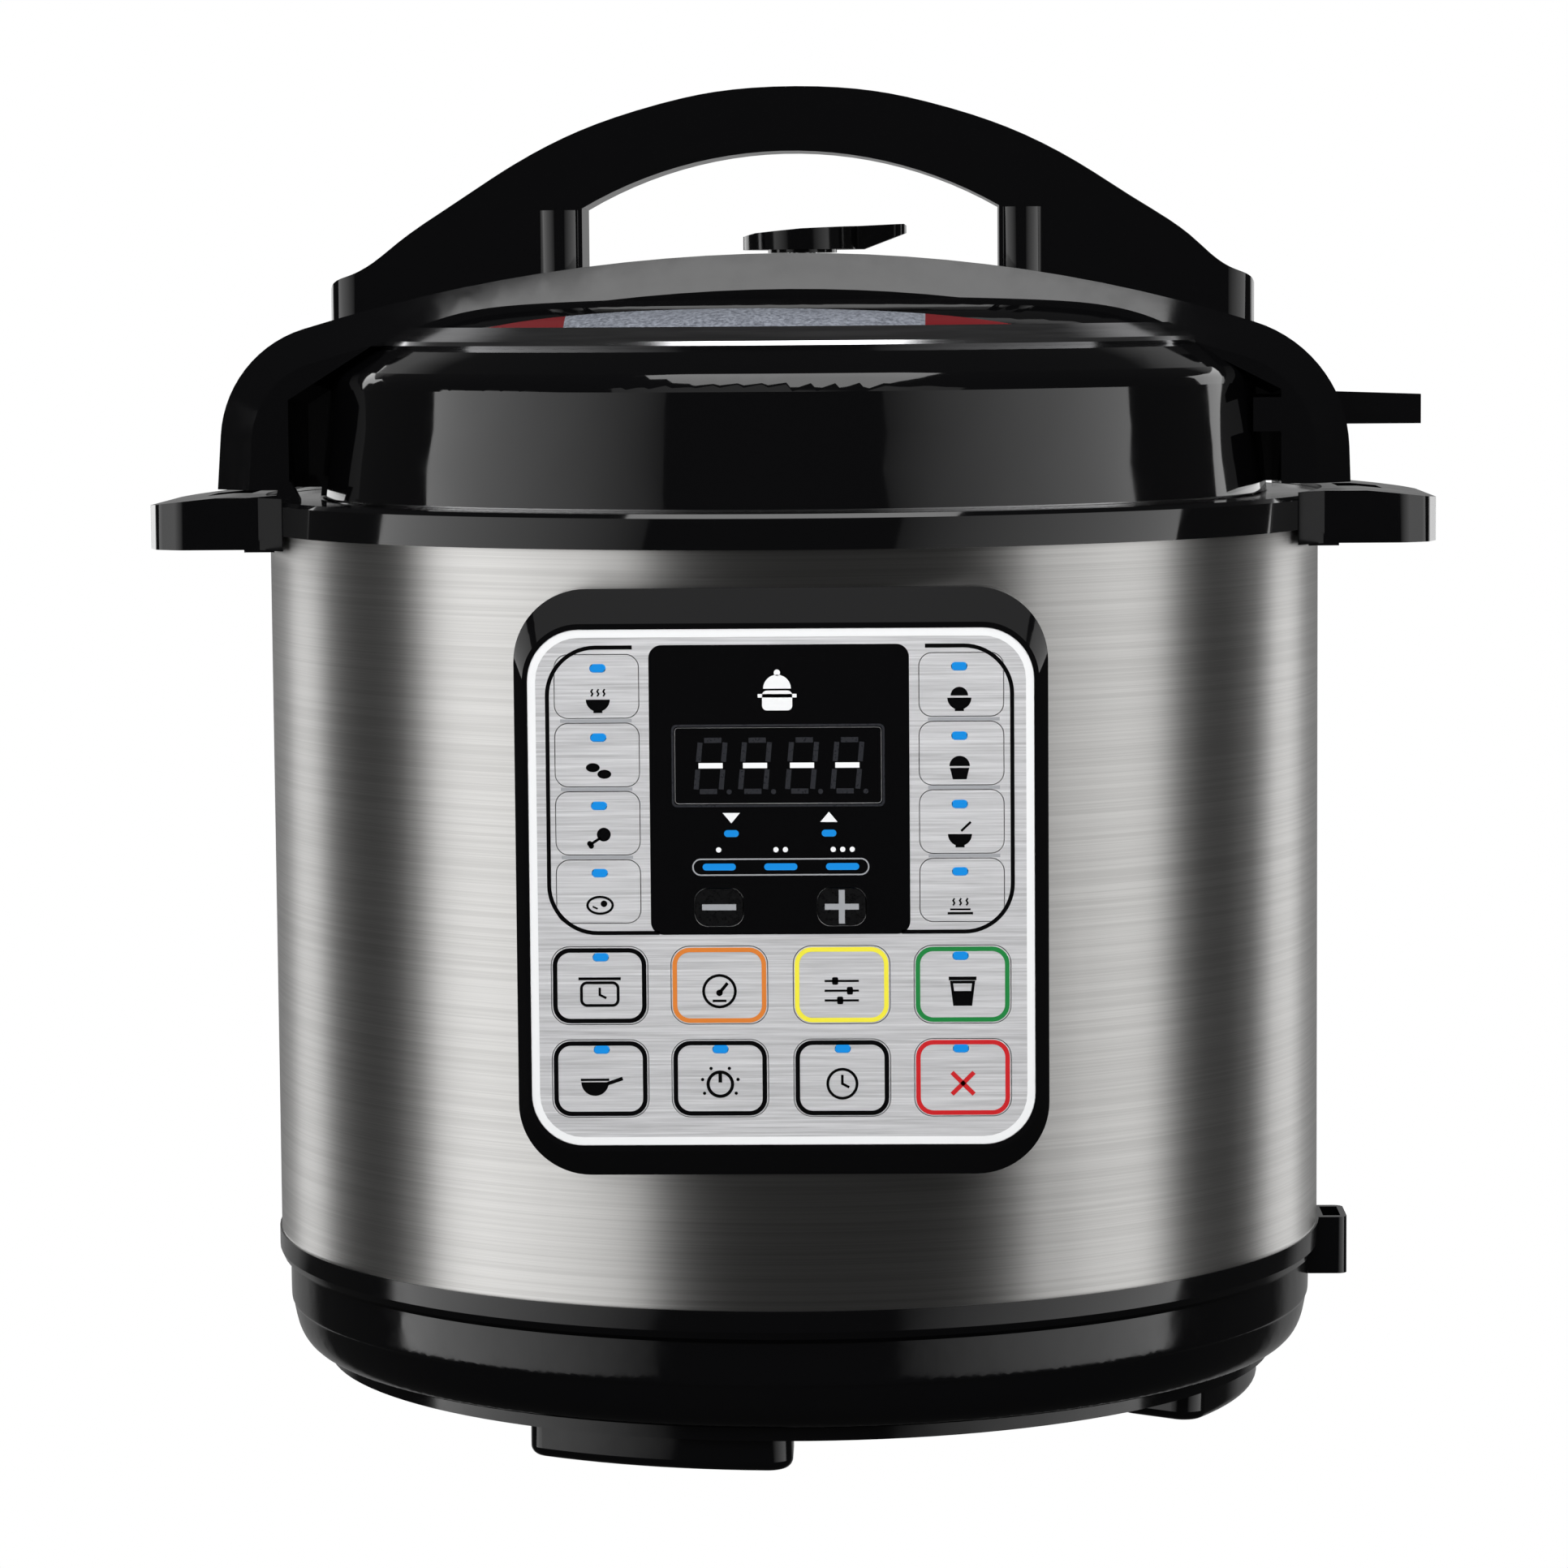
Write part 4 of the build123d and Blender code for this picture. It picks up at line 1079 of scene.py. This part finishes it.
@dataclass
class CadNodes:
    """The CAD nodes themselves, given finishes and softened edges.

    Attributes:
        finishes: materials by use.
        smooth_below: faces meeting under this angle shade as one, in degrees.
    """

    finishes: dict[str, bpy.types.Material]
    smooth_below: float = 32.0

    def dress(self, nodes: dict[str, bpy.types.Object]) -> None:
        """Dresses every node.

        Args:
            nodes: the frame's objects by name.
        """
        for name, thing in nodes.items():
            plain = Dress("brushed", "key_silver")
            plan = NODE_DRESS.get(name, plain)
            thing.data.materials.clear()
            thing.data.materials.append(self.finishes[plan.finish])
            self.soften(thing, plan.edge_mm)

    def soften(self, thing: bpy.types.Object, edge_mm: float) -> None:
        """Shades a node by angle and rounds its sharp edges.

        Args:
            thing: the node's object.
            edge_mm: width of the rounding, or 0 for none.
        """
        mesh = thing.data
        for face in mesh.polygons:
            face.use_smooth = True
        mesh.set_sharp_from_angle(angle=math.radians(self.smooth_below))
        if edge_mm:
            bevel = thing.modifiers.new("edge", "BEVEL")
            bevel.width = edge_mm * MM
            bevel.segments = 2
            bevel.limit_method = "ANGLE"
            bevel.angle_limit = math.radians(40)
            bevel.use_clamp_overlap = True
            bevel.harden_normals = False
            even = thing.modifiers.new("even", "WEIGHTED_NORMAL")
            even.keep_sharp = True
            even.weight = 60


# ---------------------------------------------------------------- control panel


@dataclass
class ControlPanel:
    """Everything printed on the front panel, about the overlay's centre.

    Sizes are in millimetres.

    Attributes:
        finishes: materials by use.
        width, height, bend: the overlay's outline.
        border: width of the pale line round it.
        mask_left, mask_right, mask_top, mask_bottom: the black display field.
        display: centre x, centre z, width and height of the display window.
        separators_z: heights of the lines between the program keys.
        row_x: centres of the function keys.
        upper_z, lower_z: heights of the two function rows.
        minus_x, plus_x, signed_z: centres of the minus and plus keys.
        signed_size: opening in the field for each of them.
        level_x, level_z: centres of the three level lamps.
        mode_x, mode_z: centres of the two pressure lamps.
    """

    finishes: dict[str, bpy.types.Material]
    width: float = 117.4
    height: float = 120.6
    bend: float = 12.0
    border: float = 1.9
    mask_left: float = -30.5
    mask_right: float = 29.8
    mask_top: float = 56.6
    mask_bottom: float = -10.9
    display: tuple[float, float, float, float] = (-0.65, 28.5, 47.8, 17.6)
    separators_z: tuple[float, ...] = (39.1, 23.2, 7.3)
    row_x: tuple[float, ...] = (-42.6, -14.7, 13.75, 41.85)
    upper_z: float = -22.75
    lower_z: float = -44.6
    minus_x: float = -14.6
    plus_x: float = 13.9
    signed_z: float = -4.5
    signed_size: tuple[float, float] = (11.4, 9.0)
    level_x: tuple[float, ...] = (-14.5, -0.2, 14.15)
    level_z: float = 4.9
    mode_x: tuple[float, ...] = (-11.6, 11.05)
    mode_z: float = 12.7
    key_width: float = 22.3
    key_height: float = 18.1
    outline: float = 0.95
    signs: dict[str, list[Mark]] = field(default_factory=pictograms)

    def build(self) -> None:
        """Prints the panel's parts in order, from the ground up."""
        low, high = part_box("panel_overlay")
        centre_z = 0.5 * (low.z + high.z)
        self.press = Press(low.y, centre_z, self.finishes)
        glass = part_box("display_window")[0].y
        self.glass = Press(glass, centre_z, self.finishes)
        self.print_border()
        self.print_mask()
        self.print_outlines()
        self.print_display()
        self.print_mask_signs()
        self.print_program_keys()
        self.print_function_keys()
        self.print_signed_keys()

    def print_border(self) -> None:
        """The pale line round the overlay's edge."""
        outer = rounded(self.width - 0.2, self.height - 0.2, self.bend - 0.1)
        inner = rounded(
            self.width - 2 * self.border, self.height - 2 * self.border, self.bend - self.border
        )
        self.press.lay("overlay_border", [fill(outer, inner)], "white")

    def print_mask(self) -> None:
        """The black field round the display and under its two keys."""
        x = 0.5 * (self.mask_left + self.mask_right)
        z = 0.5 * (self.mask_top + self.mask_bottom)
        wide = self.mask_right - self.mask_left
        tall = self.mask_top - self.mask_bottom
        outer = rounded(wide, tall, 3.0, x, z)
        dx, dz, dw, dh = self.display
        window = rounded(dw + 0.1, dh + 0.1, 0.85, dx, dz)
        signed = [
            rounded(*self.signed_size, 3.1, kx, self.signed_z) for kx in (self.minus_x, self.plus_x)
        ]
        bars = [rounded(7.7, 1.6, 0.79, bx, self.level_z) for bx in self.level_x]
        spots = [rounded(3.4, 1.6, 0.79, sx, self.mode_z) for sx in self.mode_x]
        field_mark = fill(outer, window, *signed, *bars, *spots)
        self.press.lay("display_field", [field_mark], "black")
        frame = fill(
            rounded(dw + 1.6, dh + 1.6, 1.2, dx, dz), rounded(dw + 0.6, dh + 0.6, 0.9, dx, dz)
        )
        self.press.lay("display_frame", [frame], "dim", layer=2)

    def print_outlines(self) -> None:
        """The black lines that loop round the two columns of program keys."""
        for side, name in ((-1, "left"), (1, "right")):
            start = self.mask_left if side < 0 else self.mask_right
            far = -54.1 if side < 0 else 53.6
            near = -34.3 if side < 0 else 33.5
            turn = 11.2
            cx = far + turn if side < 0 else far - turn
            top = [(near, self.mask_top - 0.48)]
            upper = bow(turn, 90, 180 if side < 0 else 0, cx, self.mask_top - 0.48 - turn)
            lower = bow(
                turn, 180 if side < 0 else 0, 270 if side < 0 else -90,
                cx, self.mask_bottom + 0.48 + turn,
            )
            end = [(start - side * 2.0, self.mask_bottom + 0.48)]
            path = top + upper + lower + end
            self.press.lay(f"column_line_{name}", [Mark(Form.LINE, path, self.outline)], "black")

    def print_display(self) -> None:
        """Unlit segments, the lit dashes and the display's small signs."""
        ghost: list[Mark] = []
        lit: list[Mark] = []
        for x in (-16.3, -6.0, 4.9, 15.4):
            lean = 0.6
            half, top, mid, low = 2.9, 35.0, 28.5, 21.9
            for z in (top - 0.6, low + 0.6):
                cx = x + lean * (z - mid) / 6.5
                ghost.append(line((cx - half + 0.9, z), (cx + half - 0.9, z), width=1.2))
            for side in (-1, 1):
                for a, b in ((top - 1.1, mid + 0.9), (mid - 0.9, low + 1.1)):
                    xa = x + side * half + lean * (a - mid) / 6.5
                    xb = x + side * half + lean * (b - mid) / 6.5
                    ghost.append(line((xa, a), (xb, b), width=1.15))
            lit.append(line((x - 2.8, mid), (x + 2.8, mid), width=1.25))
            ghost.append(fill(disc(0.6, x + half + 1.35, low + 0.5, n=12)))
        self.glass.lay("display_segments", ghost, "dim", slot="smoke_window")
        self.glass.lay("display_dashes", lit, "lit_white", slot="smoke_window", layer=2)

    def print_mask_signs(self) -> None:
        """White and grey signs on the black field."""
        marks = moved(self.signs["pot"], -0.75, 44.9, 0.92)
        down = [fill([(-2.0, 1.1), (2.0, 1.1), (0.0, -1.3)])]
        up = [fill([(-2.0, -1.1), (2.0, -1.1), (0.0, 1.3)])]
        low_x, high_x = self.mode_x
        marks += moved(down, low_x, 16.4) + moved(up, high_x, 16.4)
        for count, x in ((1, -14.6), (2, -0.2), (3, 14.2)):
            first = x - 1.1 * (count - 1)
            marks += [fill(disc(0.62, first + 2.2 * i, 8.9, n=14)) for i in range(count)]
        self.press.lay("field_signs", marks, "white", layer=2)
        capsule = rounded(40.8, 3.7, 1.84, -0.2, 4.87)
        self.press.lay("level_capsule", [ring(capsule, 0.32)], "grey", layer=2)

    def print_program_keys(self) -> None:
        """Pictograms of the eight program keys and the lines between them."""
        rules: list[Mark] = []
        for z in self.separators_z:
            rules.append(line((-51.1, z), (-34.5, z), width=0.8))
            rules.append(line((34.1, z), (50.7, z), width=0.8))
        self.press.lay("column_rules", rules, "grey")
        columns = (
            (-42.3, ("soup", "bean", "fried", "meat")),
            (41.4, ("rice", "cake", "porridge", "steam")),
        )
        for x, names in columns:
            for name, z in zip(names, (43.9, 27.6, 12.2, -3.9)):
                marks = moved(self.signs[name], x, z, 0.7)
                body = f"key_{name}"
                self.press.lay(f"sign_{name}", marks, "black", body, "key_silver", 2)

    def print_function_keys(self) -> None:
        """Coloured rings and pictograms of the eight function keys."""
        upper = (
            ("slow_cook", "black"), ("pressure", "orange"), ("adjust", "yellow"),
            ("yogurt", "green"),
        )
        lower = (("saute", "black"), ("manual", "black"), ("timer", "black"), ("cancel", "red"))
        for z, row in ((self.upper_z, upper), (self.lower_z, lower)):
            for x, (name, ink) in zip(self.row_x, row):
                body = f"key_{name}"
                wide, tall = self.key_width - 0.5, self.key_height - 0.5
                outer = rounded(wide, tall, 4.0, x, z)
                inner = rounded(wide - 2.1, tall - 2.1, 3.0, x, z)
                self.press.lay(
                    f"ring_{name}", [fill(outer, inner)], ink, body, "key_silver", 2
                )
                sign_ink = "red" if name == "cancel" else "black"
                marks = moved(self.signs[name], x, z - 1.4, 0.95)
                self.press.lay(f"sign_{name}", marks, sign_ink, body, "key_silver", 2)

    def print_signed_keys(self) -> None:
        """The minus and the plus."""
        bar = [line((-3.95, 0), (3.95, 0), width=1.4)]
        cross = [
            line((-3.95, 0), (3.95, 0), width=1.4),
            line((0, -3.95), (0, -0.7), width=1.4),
            line((0, 0.7), (0, 3.95), width=1.4),
        ]
        minus = moved(bar, self.minus_x, self.signed_z)
        plus = moved(cross, self.plus_x, self.signed_z)
        self.press.lay("sign_minus", minus, "grey", "key_minus", "key_black", 2)
        self.press.lay("sign_plus", plus, "grey", "key_plus", "key_black", 2)


# ---------------------------------------------------------------- studio


@dataclass(frozen=True)
class SoftBox:
    """One soft box. Metres and degrees.

    Attributes:
        name: name of the light.
        azimuth: where it stands, from the front towards +X.
        elevation: how high it stands, seen from the aim point.
        reach: distance from the aim point.
        aim_z: height of the point on the axis that it faces.
        size: width and height.
        radiance: brightness of its face; 1 is white.
        mirrored: whether polished parts reflect it.
        strip: whether it lights only the brushed sleeve.
        fade: share of light lost towards one side; its sign picks the side.
    """

    name: str
    azimuth: float
    elevation: float
    reach: float
    size: tuple[float, float]
    radiance: float
    aim_z: float = 0.2
    mirrored: bool = True
    strip: bool = False
    fade: float = 0.0


BOXES: tuple[SoftBox, ...] = (
    SoftBox("box_left", -61.0, 0.0, 1.33, (1.70, 1.08), 2.2, fade=0.93),
    SoftBox("box_right", 55.0, 0.0, 1.33, (1.70, 1.08), 2.0, fade=-0.93),
    SoftBox("rim_left", -142.0, 10.0, 1.5, (0.7, 0.8), 1.6),
    SoftBox("rim_right", 137.0, 10.0, 1.5, (0.9, 0.8), 1.6),
    SoftBox("box_high", 0.0, 32.0, 1.5, (2.4, 0.34), 0.4),
    SoftBox("box_top", 0.0, 68.0, 1.6, (1.2, 1.3), 3.2),
    SoftBox("fill_front", 0.0, 20.0, 1.8, (1.6, 1.2), 4.4, mirrored=False),
    SoftBox("strip_far_left", -128.0, 0.0, 1.5, (0.44, 2.4), 1.1, strip=True),
    SoftBox("strip_left", -55.0, 0.0, 1.2, (1.15, 2.4), 1.6, strip=True, fade=0.5),
    SoftBox("strip_right", 66.0, 0.0, 1.2, (0.78, 2.4), 1.35, strip=True, fade=-0.6),
    SoftBox("strip_far_right", 130.0, 0.0, 1.5, (0.46, 2.4), 1.1, strip=True),
)


@dataclass
class Studio:
    """White cyclorama, its soft boxes and the camera. Metres and degrees.

    Attributes:
        axis_y: where the cooker's axis crosses the floor.
        camera_reach: distance of the camera from that axis.
        camera_turn: camera's azimuth towards +X.
        camera_height: height of the lens.
        camera_pitch: how far it looks down.
        camera_aim: how far it looks to the left of the axis.
        camera_roll: clockwise roll.
        lens_mm: focal length on a 36 mm sensor.
        floor_glow: how much of the floor's look is plain white paper.
    """

    axis_y: float = -0.0104
    camera_reach: float = 1.332
    camera_turn: float = 1.45
    camera_height: float = 0.2785
    camera_pitch: float = 5.35
    camera_aim: float = 0.133
    camera_roll: float = 0.45
    lens_mm: float = 118.9
    floor_glow: float = 1.0

    def build(self, nodes: dict[str, bpy.types.Object]) -> None:
        """Sets up the floor, the lights, the world and the camera.

        Args:
            nodes: the frame's objects by name.
        """
        self.lay_floor()
        self.hang_lights(nodes["outer_sleeve"])
        self.paint_world()
        self.place_camera()
        settings = bpy.context.scene.view_settings
        settings.view_transform = "Standard"
        settings.look = "None"

    def lay_floor(self) -> None:
        """A plain pale floor under the feet."""
        low, _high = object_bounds()
        half = 6.0
        z = low.z - 0.0002
        mesh = bpy.data.meshes.new("floor")
        corners = [(-half, -half, z), (half, -half, z), (half, half, z), (-half, half, z)]
        mesh.from_pydata(corners, [], [(0, 1, 2, 3)])
        floor = bpy.data.objects.new("floor", mesh)
        bpy.context.scene.collection.objects.link(floor)
        material, tree, shader = fresh_material("painted_floor")
        mottle = stretched_noise(tree, (300, 300, 300), 2.0)
        tree.links.new(tinted(tree, mottle, "FAFAFA", "FDFDFD"), shader.inputs["Base Color"])
        shader.inputs["Roughness"].default_value = 0.9
        shader.inputs["Specular IOR Level"].default_value = 0.1
        lit = add_node(tree, "ShaderNodeEmission", {"Strength": 1.0})
        path = add_node(tree, "ShaderNodeLightPath")
        seen = add_node(
            tree,
            "ShaderNodeMath",
            {1: self.floor_glow},
            {0: path.outputs["Is Camera Ray"]},
            operation="MULTIPLY",
        )
        mix = add_node(
            tree,
            "ShaderNodeMixShader",
            feeds={0: seen.outputs[0], 1: shader.outputs[0], 2: lit.outputs[0]},
        )
        out = next(n for n in tree.nodes if n.type == "OUTPUT_MATERIAL")
        tree.links.new(mix.outputs[0], out.inputs["Surface"])
        mesh.materials.append(material)
        floor.visible_glossy = False
        floor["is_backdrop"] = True

    def hang_panel(self, plan: SoftBox) -> bpy.types.Object:
        """Hangs one soft box that faces the cooker's axis.

        Args:
            plan: where it hangs and how bright it is.

        Returns:
            The light.
        """
        data = bpy.data.lights.new(plan.name, "AREA")
        data.shape = "RECTANGLE"
        data.size, data.size_y = plan.size
        data.energy = plan.radiance * math.pi * plan.size[0] * plan.size[1]
        if plan.fade:
            self.grade(data, plan.fade)
        lamp = bpy.data.objects.new(plan.name, data)
        a, e = math.radians(plan.azimuth), math.radians(plan.elevation)
        flat = plan.reach * math.cos(e)
        spot = Vector((
            flat * math.sin(a),
            self.axis_y - flat * math.cos(a),
            plan.aim_z + plan.reach * math.sin(e),
        ))
        turn = Matrix.Rotation(a, 4, "Z")
        lean = Matrix.Rotation(math.radians(90 - plan.elevation), 4, "X")
        lamp.matrix_world = Matrix.Translation(spot) @ turn @ lean
        lamp.visible_camera = False
        lamp.visible_glossy = plan.mirrored
        bpy.context.scene.collection.objects.link(lamp)
        lamp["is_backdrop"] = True
        return lamp

    def grade(self, data: bpy.types.Light, fade: float) -> None:
        """Makes a soft box darker towards one of its sides.

        Args:
            data: the light.
            fade: share of light lost at the darker side; its sign picks the side.
        """
        data.use_nodes = True
        tree = data.node_tree
        tree.nodes.clear()
        place = add_node(tree, "ShaderNodeNewGeometry")
        split = add_node(tree, "ShaderNodeSeparateXYZ", feeds={0: place.outputs["Parametric"]})
        ends = (1.0, 1.0 - abs(fade)) if fade > 0 else (1.0 - abs(fade), 1.0)
        slope = add_node(
            tree,
            "ShaderNodeMapRange",
            {"To Min": ends[0], "To Max": ends[1]},
            {"Value": split.outputs["X"]},
        )
        lit = add_node(tree, "ShaderNodeEmission", feeds={"Strength": slope.outputs[0]})
        add_node(tree, "ShaderNodeOutputLight", feeds={"Surface": lit.outputs[0]})

    def hang_lights(self, sleeve: bpy.types.Object) -> None:
        """Soft boxes for the whole cooker, and strips for its brushed sleeve.

        Args:
            sleeve: the brushed sleeve, which only the strips light.
        """
        strips = bpy.data.collections.new("strip_lit")
        strips.objects.link(sleeve)
        others = bpy.data.collections.new("box_lit")
        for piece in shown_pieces():
            if piece is not sleeve:
                others.objects.link(piece)
        for plan in BOXES:
            lamp = self.hang_panel(plan)
            lamp.light_linking.receiver_collection = strips if plan.strip else others

    def paint_world(self) -> None:
        """White for the camera; dim round the object, bright behind it."""
        world = bpy.data.worlds.new("studio")
        bpy.context.scene.world = world
        world.use_nodes = True
        tree = world.node_tree
        tree.nodes.clear()
        place = add_node(tree, "ShaderNodeTexCoord")
        split = add_node(tree, "ShaderNodeSeparateXYZ", feeds={0: place.outputs["Generated"]})
        back = add_node(
            tree,
            "ShaderNodeMapRange",
            {"From Min": 0.70, "From Max": 0.80, "To Min": 0.03, "To Max": 0.25},
            {"Value": split.outputs["Y"]},
        )
        room = add_node(tree, "ShaderNodeBackground", feeds={"Strength": back.outputs[0]})
        white = add_node(tree, "ShaderNodeBackground", {"Strength": 1.0})
        for node in (room, white):
            node.inputs["Color"].default_value = (1.0, 1.0, 1.0, 1.0)
        path = add_node(tree, "ShaderNodeLightPath")
        mix = add_node(
            tree,
            "ShaderNodeMixShader",
            feeds={0: path.outputs["Is Camera Ray"], 1: room.outputs[0], 2: white.outputs[0]},
        )
        add_node(tree, "ShaderNodeOutputWorld", feeds={"Surface": mix.outputs[0]})

    def place_camera(self) -> None:
        """Stands the camera in front, a little to the right and above."""
        data = bpy.data.cameras.new("camera")
        data.lens = self.lens_mm
        data.sensor_width = 36.0
        data.clip_start, data.clip_end = 0.05, 50.0
        camera = bpy.data.objects.new("camera", data)
        bpy.context.scene.collection.objects.link(camera)
        a = math.radians(self.camera_turn)
        spot = Vector((
            self.camera_reach * math.sin(a),
            self.axis_y - self.camera_reach * math.cos(a),
            self.camera_height,
        ))
        heading = Matrix.Rotation(a + math.radians(self.camera_aim), 4, "Z")
        pitch = Matrix.Rotation(math.radians(90 - self.camera_pitch), 4, "X")
        roll = Matrix.Rotation(-math.radians(self.camera_roll), 4, "Z")
        camera.matrix_world = Matrix.Translation(spot) @ heading @ pitch @ roll
        bpy.context.scene.camera = camera


def corners(box: tuple[Vector, Vector]) -> list[list[float]]:
    """Lowest and highest corner as plain lists.

    Args:
        box: lowest and highest corner.

    Returns:
        The two corners.
    """
    return [list(map(float, box[0])), list(map(float, box[1]))]


def main() -> None:
    """Builds the scene in order."""
    bpy.ops.wm.read_factory_settings(use_empty=True)
    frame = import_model()
    finishes = stock()
    CadNodes(finishes).dress(frame["nodes"])
    ControlPanel(finishes).build()
    Studio().build(frame["nodes"])
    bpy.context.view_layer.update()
    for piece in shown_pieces():
        LOG.info("piece %s", piece.name)


if __name__ == "__main__":
    logging.basicConfig(level=logging.INFO, format="%(name)s: %(message)s")
    main()
